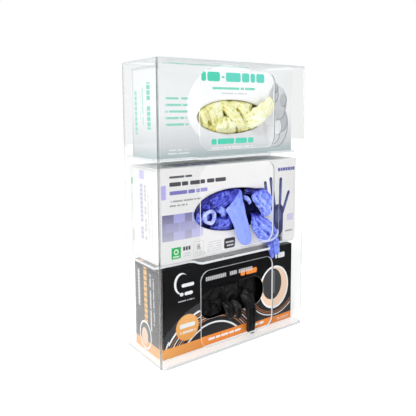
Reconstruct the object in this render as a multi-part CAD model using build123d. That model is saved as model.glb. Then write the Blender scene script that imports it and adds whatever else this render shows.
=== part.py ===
from build123d import *
import os

# Three-bay glove dispenser: a clear acrylic case, loaded from its open right end with three
# cartons of gloves, which are pulled out through the three windows in the front.
# Millimetres, +Z up. The front faces -Y. The origin is under the middle of the loaded case.

# ---- case ----
case_width = 260.0
sheet = 3.2                 # thickness of every acrylic piece
bend_radius = 9.0           # outside radius of the two bent corners
corner_relief = 0.5         # extra radius on the corners of the plates that sit in the bends
front_gap = 18.8            # finger room between the front panel and the cartons
back_gap = 3.8              # room behind the deepest carton

window_width = 135.0
window_rim = 9.7            # height of panel left above and below each window, inside its bay
window_corner = 15.0
edge_break = 0.4            # polished edge round each window
shelf_lip = 1.0             # how far a shelf's front edge stands out past the cartons
tongue_corner = 8.4         # rounding at the tip and the root of a shelf's tongue

screw_hole = 5.0
screw_spacing_x = 100.0
screw_spacing_z = 330.0

# ---- cartons and gloves ----
board = 0.6                 # paperboard thickness
fold_radius = 1.2           # outside radius of the folds
dust_flap = 30.0            # length of the small inner flaps at the ends
flap_notch = 1.6            # strip left open beside the free edge of the outer flap
rest_gap = 0.3              # clearance round everything soft
stack_recess = 12.0         # room between the mouth of a carton and its packed gloves
stack_slack = 3.0           # room beside and above the packed gloves
stack_rounding = 9.0
glove_rounding = 4.5
finger_width = 18.5         # two fingers that fall past a shelf, side by side


class Carton:
    """One carton of gloves, with its place in the bay that it stands in."""

    def __init__(self, name, size, inset, headroom, mouth, mouth_drop, window_rise):
        self.name = name
        self.width, self.depth, self.height = size
        self.inset = inset                  # room between the case's left wall and the carton
        self.headroom = headroom            # room between the carton and the plate above it
        self.mouth_width, self.mouth_height = mouth
        self.mouth_drop = mouth_drop        # how far the mouth lies below the carton's middle
        self.window_rise = window_rise      # how far the window lies above the bay's middle


lower = Carton("lower", (246.0, 70.0, 125.5), 8.8, 4.7, (124.0, 46.0), 0.0, 0.0)
middle = Carton("middle", (254.3, 76.0, 130.5), 7.5, 10.3, (148.0, 62.0), 2.0, 1.4)
upper = Carton("upper", (240.8, 70.0, 122.2), 9.6, 4.0, (125.0, 48.0), 7.5, 0.0)
cartons = [lower, middle, upper]

# ---- worked out from the sizes above ----
case_depth = 2 * sheet + front_gap + max(carton.depth for carton in cartons) + back_gap
face_depth = sheet + front_gap
overhang = max(0.0, max(sheet + carton.inset + carton.width - case_width for carton in cartons))
left = -(case_width + overhang) / 2
front = -case_depth / 2
middle_x = case_width / 2

level = sheet
for carton in cartons:
    carton.floor = level
    carton.ceiling = level + carton.height + carton.headroom
    carton.start = sheet + carton.inset
    carton.mouth_x = carton.start + carton.width / 2
    carton.mouth_z = carton.floor + carton.height / 2 - carton.mouth_drop
    level = carton.ceiling + sheet
case_height = level


def place(x, y, z):
    """A point measured from the lower left front corner of the case, in the model's frame."""
    return Pos(left + x, front + y, z)


def block(x_range, y_range, z_range):
    """A box between three pairs of limits, measured from the lower left front corner."""
    middles = [(low + high) / 2 for low, high in (x_range, y_range, z_range)]
    sizes = [high - low for low, high in (x_range, y_range, z_range)]
    return place(*middles) * Box(*sizes)


# ---- acrylic case ----
def window_cutter(carton):
    """Cuts one window through the front panel."""
    low = carton.floor + window_rim
    high = carton.ceiling - window_rim
    height = (low + high) / 2 + carton.window_rise
    opening = RectangleRounded(window_width, high - low, window_corner)
    return place(middle_x, 2 * sheet, height) * extrude(Plane.XZ * opening, 4 * sheet)


def window_edges(panels):
    """The outer edges of the windows, which lie on the front face inside its outline."""
    on_front = panels.edges().filter_by_position(Axis.Y, front - 0.01, front + 0.01)
    reach = window_width / 2 + 1
    across = on_front.filter_by_position(Axis.X, left + middle_x - reach, left + middle_x + reach)
    return across.filter_by_position(Axis.Z, sheet, case_height - sheet)


def wrap_sheet():
    """Front panel, left wall and back panel, bent from one sheet that is open at the right."""
    outline = Rectangle(case_width, case_depth)
    outline = fillet(outline.vertices().sort_by(Axis.X)[:2], bend_radius)
    room = Rectangle(case_width, case_depth - 2 * sheet)
    room = Pos(sheet, 0) * fillet(room.vertices().sort_by(Axis.X)[:2], bend_radius - sheet)
    panels = Pos(left + middle_x, 0, 0) * extrude(outline - room, case_height)
    for carton in cartons:
        panels -= window_cutter(carton)
    panels = chamfer(window_edges(panels), edge_break)
    back = place(middle_x, case_depth, case_height / 2)
    drill = Rot(90, 0, 0) * Cylinder(screw_hole / 2, 4 * sheet)
    for spot in GridLocations(screw_spacing_x, screw_spacing_z, 2, 2):
        panels -= back * Pos(spot.position.X, 0, spot.position.Y) * drill
    return panels


def end_plate(height):
    """The top or the base: a plain plate that fills the case."""
    depth = case_depth - 2 * sheet
    outline = Rectangle(case_width - sheet, depth)
    outline = fillet(outline.vertices().sort_by(Axis.X)[:2], bend_radius - sheet + corner_relief)
    return place((case_width + sheet) / 2, case_depth / 2, height) * extrude(outline, sheet)


def shelf(height):
    """A shelf with one tongue, glued to the front panel between two windows."""
    shelf_front = face_depth - shelf_lip
    reach = shelf_front - sheet
    corner = min(tongue_corner, 0.48 * reach)
    depth = case_depth - sheet - shelf_front
    plate = Rectangle(case_width - sheet, depth)
    rear_left = plate.vertices().group_by(Axis.X)[0].sort_by(Axis.Y)[-1]
    plate = fillet(rear_left, bend_radius - sheet + corner_relief)
    plate = Pos(left + (case_width + sheet) / 2, front + shelf_front + depth / 2) * plate
    tongue = Pos(left + middle_x, front + sheet + reach) * Rectangle(window_width, 2 * reach)
    outline = plate + tongue
    tips = outline.vertices().group_by(Axis.Y)[0]
    roots = [vertex for vertex in outline.vertices()
             if abs(abs(vertex.X - left - middle_x) - window_width / 2) < 0.01 and vertex not in tips]
    outline = fillet(tips + roots, corner)
    return Pos(0, 0, height) * extrude(outline, sheet)


# ---- cartons ----
def mouth_outline(carton):
    """The torn-out mouth: a slot in the lower carton, ovals in the other two."""
    if carton is lower:
        return SlotOverall(carton.mouth_width, carton.mouth_height)
    return Ellipse(carton.mouth_width / 2, carton.mouth_height / 2)


def end_flaps(carton, end, inward):
    """The flaps folded in behind the outer flap of one end: two dust flaps, then a half flap."""
    near = face_depth + board
    far = face_depth + carton.depth - board
    bottom = carton.floor + board
    top = carton.floor + carton.height - board
    half_flap = sorted((end + inward * board, end + inward * 2 * board))
    dust_flaps = sorted((end + inward * 2 * board, end + inward * 3 * board))
    flaps = block(half_flap, (near, far), (carton.floor + carton.height / 2, top))
    flaps += block(dust_flaps, (near, near + dust_flap), (bottom, top))
    flaps += block(dust_flaps, (far - dust_flap, far), (bottom, top))
    return flaps


def flap_slot(carton, end, inward):
    """The strip of an end that the outer flap, hinged at the bottom, doesn't cover."""
    across = sorted((end - inward, end + inward * board))
    top = carton.floor + carton.height - fold_radius
    depths = (face_depth + fold_radius, face_depth + carton.depth - fold_radius)
    return block(across, depths, (top - flap_notch, top))


def folded_carton(carton):
    """A glued paperboard carton: the tube, the flaps of both ends and the mouth in its face."""
    ends = (carton.start, carton.start + carton.width)
    depths = (face_depth, face_depth + carton.depth)
    heights = (carton.floor, carton.floor + carton.height)
    shell = block(ends, depths, heights)
    shell = fillet(shell.edges().filter_by(Axis.X), fold_radius)
    shell -= block(*[(low + board, high - board) for low, high in (ends, depths, heights)])
    for end, inward in ((ends[0], 1), (ends[1], -1)):
        shell -= flap_slot(carton, end, inward)
        shell += end_flaps(carton, end, inward)
    mouth = extrude(Plane.XZ * mouth_outline(carton), 2 * board, both=True)
    return shell - place(carton.mouth_x, face_depth, carton.mouth_z) * mouth


def soft_block(x_range, y_range, z_range, rounding=glove_rounding):
    """A soft block with its long edges rounded, as far as its thinnest side allows."""
    thinnest = min(high - low for low, high in (x_range, y_range, z_range))
    solid = block(x_range, y_range, z_range)
    return fillet(solid.edges().filter_by(Axis.Y), min(rounding, 0.45 * thinnest))


def glove_stack(carton):
    """The packed gloves that are still folded inside a carton."""
    margin = 3 * board + stack_slack
    x_range = (carton.start + margin, carton.start + carton.width - margin)
    y_range = (face_depth + board + stack_recess, face_depth + carton.depth - board - rest_gap)
    z_range = (carton.floor + board + rest_gap, carton.floor + carton.height - board - stack_slack)
    return soft_block(x_range, y_range, z_range, stack_rounding)


# ---- loose gloves ----
# Each one has its root in the mouth of a carton, against the packed gloves. A root's limits are
# shares of half the mouth, from its centre. What hangs in the finger gap has its limits across
# in millimetres from the case's left edge, its place in the gap as shares of the gap, counted
# from the carton's face, its top from the mouth's centre and its low end from the bay's floor.
def root(carton, across, up, bulge=0.03):
    """The part of a loose glove that lies in the mouth and swells out of it."""
    x_range = [carton.mouth_x + carton.mouth_width / 2 * share for share in across]
    z_range = [carton.mouth_z + carton.mouth_height / 2 * share for share in up]
    y_range = (face_depth - bulge * front_gap, face_depth + board + stack_recess - rest_gap)
    return soft_block(x_range, y_range, z_range)


def hanging(carton, across, in_gap, above_floor, above_mouth):
    """The part of a loose glove that hangs in the finger gap."""
    y_range = (face_depth - in_gap[1] * front_gap, face_depth - in_gap[0] * front_gap)
    z_range = (carton.floor + above_floor, carton.mouth_z + above_mouth)
    return soft_block(across, y_range, z_range)


def across_from(carton, start, end):
    """Limits across, given from the middle of a carton's mouth."""
    return (carton.mouth_x + start, carton.mouth_x + end)


def upper_gloves():
    """Cream gloves: two folded in the mouth and one with its cuff pulled out to the right."""
    pulled = root(upper, (0.30, 0.76), (-0.60, 0.44), 0.2)
    pulled += hanging(upper, across_from(upper, 22, 78), (0.08, 0.85), 40, 27)
    return {
        "upper_glove_left": root(upper, (-0.78, -0.28), (-0.54, 0.54)),
        "upper_glove_centre": root(upper, (-0.26, 0.28), (-0.80, 0.80), 0.15),
        "upper_glove_pulled": pulled,
    }


def middle_gloves():
    """Blue gloves: two folded at the left, one hanging and two spilling out to the right."""
    fingers_start = middle_x + window_width / 2 + 1
    fingers_end = fingers_start + finger_width
    hanging_cuff = root(middle, (-0.06, 0.28), (-0.84, 0.84), 0.2)
    hanging_cuff += hanging(middle, across_from(middle, -22, 27), (0.08, 0.85), 8, 25)
    bunched = root(middle, (0.45, 0.78), (-0.3, 0.52), 0.3)
    bunched += hanging(middle, across_from(middle, 29, 70), (0.08, 0.9), 53, 26)
    draped_start = min(middle.mouth_x + 29, fingers_start)
    draped = root(middle, (0.45, 0.78), (-0.54, -0.36), 0.3)
    draped += hanging(middle, (draped_start, fingers_end), (0.08, 0.9), 9, -11)
    draped += hanging(middle, (fingers_start, fingers_end), (0.35, 0.9), -22, -38)
    return {
        "middle_glove_arched": root(middle, (-0.74, -0.09), (0.20, 0.62)),
        "middle_glove_rolled": root(middle, (-0.78, -0.36), (-0.52, 0.17), 0.7),
        "middle_glove_folded": root(middle, (-0.33, -0.09), (-0.70, 0.17)),
        "middle_glove_hanging": hanging_cuff,
        "middle_glove_bunched": bunched,
        "middle_glove_draped": draped,
    }


def lower_gloves():
    """Black gloves: three folded in the mouth, two hanging over its lower edge."""
    drooping = root(lower, (-0.37, 0.10), (-0.84, -0.04), 0.3)
    drooping += hanging(lower, across_from(lower, -20, 7), (0.05, 0.6), 26, -8)
    rolled = root(lower, (0.13, 0.52), (-0.84, 0.0), 0.3)
    rolled += hanging(lower, across_from(lower, 17, 40), (0.05, 0.75), 4, -8)
    return {
        "lower_glove_left": root(lower, (-0.86, -0.40), (-0.56, 0.56)),
        "lower_glove_centre": root(lower, (-0.37, 0.10), (0.0, 0.84), 0.2),
        "lower_glove_right": root(lower, (0.13, 0.58), (0.04, 0.84)),
        "lower_glove_drooping": drooping,
        "lower_glove_rolled": rolled,
    }


pieces = {
    "wrap_sheet": wrap_sheet(),
    "base_plate": end_plate(0),
    "top_plate": end_plate(case_height - sheet),
    "lower_shelf": shelf(lower.ceiling),
    "upper_shelf": shelf(middle.ceiling),
}
for carton in cartons:
    pieces[carton.name + "_carton"] = folded_carton(carton)
    pieces[carton.name + "_glove_stack"] = glove_stack(carton)
pieces.update(upper_gloves())
pieces.update(middle_gloves())
pieces.update(lower_gloves())

os.makedirs("parts", exist_ok=True)
for name, shape in pieces.items():
    export_step(shape, "parts/" + name + ".step")
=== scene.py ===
import math
import bpy
import bmesh
import numpy as np
from mathutils import Matrix, Vector, noise


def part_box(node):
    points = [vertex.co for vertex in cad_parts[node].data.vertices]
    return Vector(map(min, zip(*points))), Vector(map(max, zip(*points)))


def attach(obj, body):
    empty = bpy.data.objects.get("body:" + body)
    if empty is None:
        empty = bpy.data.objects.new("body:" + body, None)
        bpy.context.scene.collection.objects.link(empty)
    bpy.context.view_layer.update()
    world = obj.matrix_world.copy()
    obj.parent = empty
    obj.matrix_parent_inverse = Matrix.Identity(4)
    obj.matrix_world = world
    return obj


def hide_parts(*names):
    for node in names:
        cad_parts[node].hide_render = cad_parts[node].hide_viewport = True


bl_info = {
    "name": "Glove dispenser",
    "version": (1, 0, 0),
    "blender": (4, 5, 0),
    "location": "3D View > Sidebar > Dispenser",
    "description": "Finishes a three-bay acrylic dispenser with printed cartons and gloves",
    "category": "Object",
}

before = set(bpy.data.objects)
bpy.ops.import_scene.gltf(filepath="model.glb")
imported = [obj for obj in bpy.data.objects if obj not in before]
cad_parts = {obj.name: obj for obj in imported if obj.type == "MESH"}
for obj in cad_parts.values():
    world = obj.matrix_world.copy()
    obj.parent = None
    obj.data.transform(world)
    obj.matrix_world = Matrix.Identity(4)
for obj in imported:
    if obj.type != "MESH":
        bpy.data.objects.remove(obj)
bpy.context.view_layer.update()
MM = 0.001
CASE_LOW = Vector(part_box("wrap_sheet")[0])
BAYS = ("lower", "middle", "upper")


def at(x, y, z):
    """A point in millimetres from the case's lower left front corner, as metres in the frame."""
    return CASE_LOW + Vector((x, y, z)) * MM


# ---------------------------------------------------------------- settings
def colour(name, description, value):
    """A colour that a user can change."""
    return bpy.props.FloatVectorProperty(name=name, description=description, subtype="COLOR",
                                         size=3, min=0.0, max=1.0, default=value)


def length(name, description, millimetres):
    """A length in metres that a user can change, given in millimetres."""
    return bpy.props.FloatProperty(name=name, description=description, unit="LENGTH",
                                   default=millimetres * MM)


def number(name, description, value, **limits):
    """A number that a user can change."""
    return bpy.props.FloatProperty(name=name, description=description, default=value, **limits)


class AcrylicSettings(bpy.types.PropertyGroup):
    tint: colour("Tint", "Colour that the sheet gives to what is behind it", (0.985, 0.995, 0.995))
    edge: colour("Cut edge", "Colour of the sawn and flamed edges", (0.93, 0.95, 0.96))
    edge_strength: number("Edge whiteness", "How milky a cut edge is", 0.75,
                          subtype="FACTOR", min=0.0, max=1.0)
    density: number("Depth", "How fast light fades along the inside of a sheet", 13.0)


class CartonSettings(bpy.types.PropertyGroup):
    board: length("Board", "Thickness of the paperboard", 0.6)
    bulge: length("Bulge", "How far the packed gloves push a wide panel out", 1.6)
    grid: length("Grid", "Size of the mesh that a panel is made of", 5.0)


class GloveSettings(bpy.types.PropertyGroup):
    # Each colour is the one a glove is painted on a lit ridge; its painted shade is given by the
    # films' table.
    cream: colour("Latex", "Colour of a ridge on the upper gloves", (0.86, 0.85, 0.60))
    blue: colour("Blue nitrile", "Colour of a ridge on the middle gloves", (0.26, 0.36, 0.96))
    black: colour("Black nitrile", "Colour of a ridge on the lower gloves", (0.010, 0.010, 0.011))
    film: length("Film", "Thickness of a glove's wall, with its powder bloom", 0.35)
    slack: number("Slack", "How much larger the film is than the space it fills", 0.10,
                  subtype="FACTOR")
    rounds: bpy.props.IntProperty(name="Rounds", description="Rounds in which the film creases",
                                  default=60)
    # Contrast: how strongly a painted highlight on a ridge and painted shade in a crease are laid
    # into the tone.
    contrast: number("Contrast", "How much paler a ridge is than a crease", 0.7)
    reach: length("Reach", "How far a point of the film may move as it creases", 3.0)


class StageSettings(bpy.types.PropertyGroup):
    focal: number("Focal length", "Camera lens, in millimetres", 43.3)
    floor: colour("Floor", "Colour of the floor", (0.93, 0.93, 0.93))
    sky: number("Sky", "Brightness of the white surroundings", 1.0)
    soft_sky: number("Soft light", "Light that the surroundings give", 0.52)
    backdrop: number("Backdrop", "Brightness of a reflection of what is behind the case", 0.95)
    room: number("Room", "Brightness of a reflection of what is before the case", 0.04)
    sun: number("Sun", "Strength of the diffused sun", 1.85)
    glare: number("Diffuser", "Power of the small round diffuser that the front mirrors", 0.6)
    light_table: number("Light table", "Light that shines up through the floor", 0.42)


# ---------------------------------------------------------------- materials
class Nodes:
    """A node tree, with short calls for the nodes that it is made of."""

    def __init__(self, tree):
        self.tree = tree

    def node(self, kind, feeds=None, **values):
        """Adds a node, sets its properties and feeds its inputs by their place or name."""
        new = self.tree.nodes.new(kind)
        for key, value in values.items():
            setattr(new, key, value)
        for key, value in (feeds or {}).items():
            self.feed(new.inputs[key], value)
        return new

    def feed(self, socket, value):
        """Sets a socket to a value, or links it to another node's socket."""
        if isinstance(value, bpy.types.NodeSocket):
            self.tree.links.new(value, socket)
        else:
            socket.default_value = value

    def math(self, operation, *terms, clamp=False):
        """One number worked out from up to three others."""
        return self.node("ShaderNodeMath", dict(enumerate(terms)), operation=operation,
                         use_clamp=clamp).outputs[0]

    def vector(self, operation, *terms):
        """One vector worked out from up to two others."""
        new = self.node("ShaderNodeVectorMath", dict(enumerate(terms)), operation=operation)
        return new.outputs[1 if operation in ("LENGTH", "DOT_PRODUCT") else 0]

    def joined(self, x, y, z=0.0):
        """One vector from three numbers."""
        return self.node("ShaderNodeCombineXYZ", {0: x, 1: y, 2: z}).outputs[0]

    def split(self, vector):
        """The three numbers of a vector."""
        return self.node("ShaderNodeSeparateXYZ", {0: vector}).outputs

    def both(self, first, second):
        """1 where both shares are."""
        return self.math("MULTIPLY", first, second)

    def without(self, first, second):
        """1 where the first share is and the second is not."""
        return self.math("MULTIPLY", first, self.math("SUBTRACT", 1.0, second))

    def mirrored(self, path):
        """1 on a ray that a shiny face has turned and that does not light a dull one."""
        turned = self.math("GREATER_THAN", path["Glossy Depth"], 0.5)
        return self.without(turned, path["Is Diffuse Ray"])


class Sheet(Nodes):
    """A node-built material."""

    def __init__(self, name):
        self.material = bpy.data.materials.new(name)
        self.material.use_nodes = True
        super().__init__(self.material.node_tree)
        self.shader = self.tree.nodes["Principled BSDF"]
        self.out = self.tree.nodes["Material Output"]

    def mix(self, share, first, second):
        """The first colour, with the second laid over it where share is 1."""
        first, second = (tone if isinstance(tone, bpy.types.NodeSocket) else (*tone, 1)
                         for tone in (first, second))
        return self.node("ShaderNodeMix", {0: share, 6: first, 7: second},
                         data_type="RGBA").outputs[2]

    def mix_shaders(self, share, first, second):
        """The first shader, with the second in its place where share is 1."""
        return self.node("ShaderNodeMixShader", {0: share, 1: first, 2: second}).outputs[0]

    def ramp(self, value, low, high):
        """A number that rises from 0 to 1 as value goes from low to high."""
        return self.node("ShaderNodeMapRange", {0: value, 1: low, 2: high}, clamp=True).outputs[0]

    def own_place(self):
        """The point on the piece, in metres."""
        return self.node("ShaderNodeTexCoord").outputs["Object"]

    def grain(self, place, scale, detail=3.0):
        """Soft noise of about the given number of grains to the metre."""
        feeds = {"Vector": place, "Scale": scale, "Detail": detail}
        return self.node("ShaderNodeTexNoise", feeds).outputs[0]

    def bump(self, height, distance):
        """Relief of the given depth, in metres."""
        relief = self.node("ShaderNodeBump", {"Height": height, "Distance": distance})
        self.feed(self.shader.inputs["Normal"], relief.outputs[0])

    def set(self, **values):
        """Sets the shader's own sockets, such as Roughness."""
        for name, value in values.items():
            self.feed(self.shader.inputs[name.replace("_", " ")], value)


class Print(Sheet):
    """Ink on a carton: flat shapes laid one over another on its net, in millimetres.

    The net's origin is the lower left corner of the front panel. The left end lies to its left,
    the right end to its right and the top above it, as on the cut board before it is folded.
    """

    def __init__(self, name, paper):
        super().__init__(name)
        net = self.node("ShaderNodeUVMap", uv_map="net").outputs[0]
        self.place = self.vector("MULTIPLY", net, (100.0, 100.0, 0.0))
        self.across, self.up = self.split(self.place)[:2]
        self.ink = self.mix(0.0, paper, paper)

    def lay(self, share, tone, strength=1.0):
        """Lays one colour over what is there, where share is 1."""
        if strength < 1.0:
            share = self.math("MULTIPLY", share, strength)
        self.ink = self.mix(share, self.ink, tone)

    def block_share(self, x, z, width, height, corner=0.0):
        """1 inside a block with rounded corners, from its lower left corner."""
        half = Vector((width / 2, height / 2, 0.0))
        middle = Vector((x, z, 0.0)) + half
        offset = self.vector("ABSOLUTE", self.vector("SUBTRACT", self.place, middle))
        past = self.vector("SUBTRACT", offset, half - Vector((corner, corner, 0.0)))
        past = self.vector("MAXIMUM", past, (0.0, 0.0, 0.0))
        return self.math("LESS_THAN", self.vector("LENGTH", past), max(corner, 0.01))

    def disc_share(self, x, z, radius, stretch=1.0):
        """1 inside a disc, or an oval that is stretch times as tall as wide."""
        offset = self.vector("SUBTRACT", self.place, (x, z, 0.0))
        offset = self.vector("MULTIPLY", offset, (1.0, 1.0 / stretch, 0.0))
        return self.math("LESS_THAN", self.vector("LENGTH", offset), radius)

    def ring_share(self, x, z, radius, line, stretch=1.0):
        """1 on a ring whose outer edge has the radius."""
        return self.without(self.disc_share(x, z, radius, stretch),
                            self.disc_share(x, z, radius - line, stretch))

    def dashes(self, along, line, seed, filled, kept):
        """1 on the dashes of a line: how much of its pitch each fills, and how many are kept."""
        cell = self.joined(self.math("FLOOR", along), line, seed)
        chance = self.node("ShaderNodeTexWhiteNoise", {0: cell}).outputs[0]
        return self.both(self.math("LESS_THAN", self.math("FRACT", along), filled),
                         self.math("LESS_THAN", chance, kept))

    def block(self, tone, x, z, width, height, corner=0.0):
        """A block of one tone, from its lower left corner."""
        if width > 0:
            self.lay(self.block_share(x, z, width, height, corner), tone)

    def words(self, tone, x, z, widths, height, gap, corner):
        """A row of small rounded blocks, from the lower left corner of the first."""
        for width in widths:
            self.block(tone, x, z, width, height, min(corner, width / 2, height / 2))
            x += width + gap

    def column(self, tone, x, z, width, height, stroke, strength):
        """A column of dashes that runs up the net, as print on the end of a carton does."""
        inside = self.block_share(x, z, width, height)
        dash = self.dashes(self.math("DIVIDE", self.up, stroke), float(x), 0.0, 0.8, 0.86)
        self.lay(self.both(inside, dash), tone, strength)

    def rows(self, tone, x, z, width, height, pitch, ink=0.55, stroke=3.0, strength=1.0, seed=0.0):
        """Rows of short dashes, each row with its own breaks, as small print looks from afar."""
        inside = self.block_share(x, z, width, height)
        row = self.math("DIVIDE", self.math("SUBTRACT", self.up, z), pitch)
        in_row = self.math("LESS_THAN", self.math("FRACT", row), ink)
        along = self.math("DIVIDE", self.math("SUBTRACT", self.across, x), stroke)
        dash = self.dashes(along, self.math("FLOOR", row), seed, 0.85, 0.84)
        self.lay(self.both(inside, self.both(in_row, dash)), tone, strength)

    def frame(self, tone, x, z, width, height, corner, line):
        """The outline of a rounded block."""
        outer = self.block_share(x, z, width, height, corner)
        inner = self.block_share(x + line, z + line, width - 2 * line, height - 2 * line,
                                 corner - line)
        self.lay(self.without(outer, inner), tone)

    def stroke(self, tone, start, end, width):
        """A straight stroke with round ends."""
        start, end = Vector((*start, 0.0)), Vector((*end, 0.0))
        course = end - start
        offset = self.vector("SUBTRACT", self.place, start)
        share = self.vector("DOT_PRODUCT", offset, course / course.length_squared)
        share = self.math("MINIMUM", self.math("MAXIMUM", share, 0.0), 1.0)
        away = self.vector("SUBTRACT", offset, self.vector("MULTIPLY", share, course))
        self.lay(self.math("LESS_THAN", self.vector("LENGTH", away), width / 2), tone)

    def disc(self, tone, x, z, radius, stretch=1.0, strength=1.0):
        """A disc, or an oval that is stretch times as tall as wide."""
        self.lay(self.disc_share(x, z, radius, stretch), tone, strength)

    def ring(self, tone, x, z, radius, line, stretch=1.0):
        """A ring whose outer edge has the radius."""
        self.lay(self.ring_share(x, z, radius, line, stretch), tone)

    def arc(self, tone, x, z, radius, line, window, strength):
        """The part of a ring that lies inside a block."""
        share = self.both(self.ring_share(x, z, radius, line), self.block_share(*window))
        self.lay(share, tone, strength)

    def crescent(self, tone, outer, inner, strength):
        """What one disc leaves of another: a sweeping band that thins to its ends."""
        self.lay(self.without(self.disc_share(*outer), self.disc_share(*inner)), tone, strength)

    def fade(self, tone, low, high, strength):
        """A tone that grows from nothing at one height to strength at another."""
        self.lay(self.ramp(self.up, low, high), tone, strength)

    def fade_in(self, inside, tone, low, high, strength, upright=True):
        """A fade, up or across, that stays inside a share."""
        along = self.up if upright else self.across
        grown = self.math("MULTIPLY", self.ramp(along, low, high), strength)
        self.lay(self.both(inside, grown), tone)

    def finish(self, roughness, wear=0.05):
        """Sets the ink as the colour, on lightly calendered board."""
        fibre = self.grain(self.own_place(), 900.0, 4.0)
        worn = self.math("MULTIPLY", self.ramp(self.grain(self.own_place(), 60.0), 0.45, 0.8), wear)
        self.set(Base_Color=self.mix(worn, self.ink, (0.5, 0.5, 0.5)))
        self.set(Roughness=self.math("MULTIPLY_ADD", fibre, 0.12, roughness - 0.06))
        self.bump(fibre, 0.00004)
        return self.material


# A face of the bent sheet is a cut edge where it turns away from the front and is past the bend,
# or where it is level. A plate's edges are its faces that are not level.
TURNED = 0.4
PAST_BEND = 15 * MM
LEVEL = 0.6
# The bend's painted dark line, painted shade standing in for how the bend refracts: which way its
# faces turn, how far about that, its strength and its colour.
BEND_TURN, BEND_SPREAD, PAINTED_BEND_STRENGTH = 0.30, 0.14, 0.85
PAINTED_BEND_SHADE = (0.22, 0.23, 0.24)


def acrylic(settings, bent):
    """Clear cast sheet with milky cut edges. A bent sheet's edges are those away from its bend."""
    sheet = Sheet("clear acrylic, bent" if bent else "clear acrylic, flat")
    normal = sheet.split(sheet.node("ShaderNodeNewGeometry").outputs["True Normal"])
    upright = sheet.math("ABSOLUTE", normal[2])
    if bent:
        forward = sheet.math("ABSOLUTE", normal[1])
        turned = sheet.math("LESS_THAN", forward, TURNED)
        beyond = sheet.math("GREATER_THAN", sheet.split(sheet.own_place())[0],
                            CASE_LOW.x + PAST_BEND)
        level = sheet.math("GREATER_THAN", upright, LEVEL)
        edge = sheet.math("MAXIMUM", sheet.both(turned, beyond), level)
        # Painted shade: a dark line in the sheet's own colour along the faces where the bend turns.
        turning = sheet.math("ABSOLUTE", sheet.math("SUBTRACT", forward, BEND_TURN))
        line = sheet.math("MULTIPLY", sheet.math("LESS_THAN", turning, BEND_SPREAD), PAINTED_BEND_STRENGTH)
        sheet.set(Base_Color=sheet.mix(line, settings.tint, PAINTED_BEND_SHADE))
    else:
        edge = sheet.math("LESS_THAN", upright, LEVEL)
        sheet.set(Base_Color=(*settings.tint, 1))
    sheet.set(Transmission_Weight=1.0, IOR=1.49, Roughness=0.0)
    milky = sheet.node("ShaderNodeBsdfDiffuse", {0: (*settings.edge, 1)}).outputs[0]
    cut = sheet.mix_shaders(sheet.math("MULTIPLY", edge, settings.edge_strength),
                            sheet.shader.outputs[0], milky)
    path = sheet.node("ShaderNodeLightPath").outputs
    through = sheet.math("MAXIMUM", path["Is Shadow Ray"], path["Is Diffuse Ray"])
    shadow = sheet.mix(edge, (1.0, 1.0, 1.0), (0.66, 0.68, 0.69))
    open_side = sheet.node("ShaderNodeBsdfTransparent", {0: shadow}).outputs[0]
    sheet.feed(sheet.out.inputs[0], sheet.mix_shaders(through, cut, open_side))
    feeds = {"Color": (0.5, 0.52, 0.53, 1), "Density": settings.density}
    depth = sheet.node("ShaderNodeVolumeAbsorption", feeds)
    sheet.feed(sheet.out.inputs["Volume"], depth.outputs[0])
    return sheet.material


def bare_board(name, tone):
    """Unprinted board: the grey inside of a carton, or the fibres of its cut edge."""
    sheet = Sheet(name)
    fibre = sheet.grain(sheet.own_place(), 700.0, 5.0)
    darker = tuple(channel * 0.86 for channel in tone)
    sheet.set(Base_Color=sheet.mix(fibre, tone, darker), Roughness=0.9)
    sheet.bump(fibre, 0.00006)
    return sheet.material


def glove_film(name, light, middle, deep, roughness, glow):
    """Thin rubber with a pebbled grip: pale with a painted highlight over a ridge, painted shade
    deep in its folds.

    The attribute tone, painted light and shade, goes from 0, deep in the mouth or a fold, to 1 or
    more on a ridge in front.
    """
    sheet = Sheet(name)
    place = sheet.own_place()
    tone = sheet.node("ShaderNodeAttribute", attribute_name="tone").outputs["Fac"]
    cloud = sheet.grain(place, 90.0, 3.0)
    tone = sheet.math("ADD", tone, sheet.math("MULTIPLY_ADD", cloud, 0.1, -0.05))
    # Painted light and shade: the darkest colour and the deep one are painted shade, and the shine
    # above tone 1.1 is a painted highlight.
    painted_shine = tuple(min(0.45 + 0.55 * channel, 0.03 + 3.0 * channel) for channel in light)
    base = tuple(channel * 0.3 for channel in deep)
    for low, high, colour_above in ((-0.25, 0.18, deep), (0.18, 0.56, middle), (0.5, 1.02, light),
                                    (1.1, 1.5, painted_shine)):
        base = sheet.mix(sheet.ramp(tone, low, high), base, colour_above)
    sheet.set(Base_Color=base)
    sheet.set(Roughness=sheet.math("MULTIPLY_ADD", cloud, 0.14, roughness - 0.07))
    sheet.set(Subsurface_Weight=glow, Subsurface_Scale=0.0015, IOR=1.45)
    pebble = sheet.grain(place, 1500.0, 2.0)
    crease = sheet.grain(place, 210.0, 5.0)
    sheet.bump(sheet.math("MULTIPLY_ADD", crease, 2.5, pebble), 0.00016)
    return sheet.material


# ---------------------------------------------------------------- mesh helpers
def new_piece(name, mesh, nodes, slot_name, *materials):
    """Puts a finished mesh in the scene as the piece that stands for some CAD nodes."""
    piece = bpy.data.objects.new(name, mesh)
    bpy.context.scene.collection.objects.link(piece)
    for material in materials:
        mesh.materials.append(material)
    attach(piece, "root")
    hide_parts(*nodes)
    return piece


def bake(piece):
    """Applies a piece's modifiers to its mesh."""
    graph = bpy.context.evaluated_depsgraph_get()
    graph.update()
    mesh = bpy.data.meshes.new_from_object(piece.evaluated_get(graph))
    old = piece.data
    piece.modifiers.clear()
    piece.data = mesh
    bpy.data.meshes.remove(old)


def smooth(mesh, angle=None):
    """Shades a mesh smooth, but for edges sharper than the angle."""
    for polygon in mesh.polygons:
        polygon.use_smooth = True
    if angle is not None:
        mesh.set_sharp_from_angle(angle=angle)
    return mesh


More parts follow.
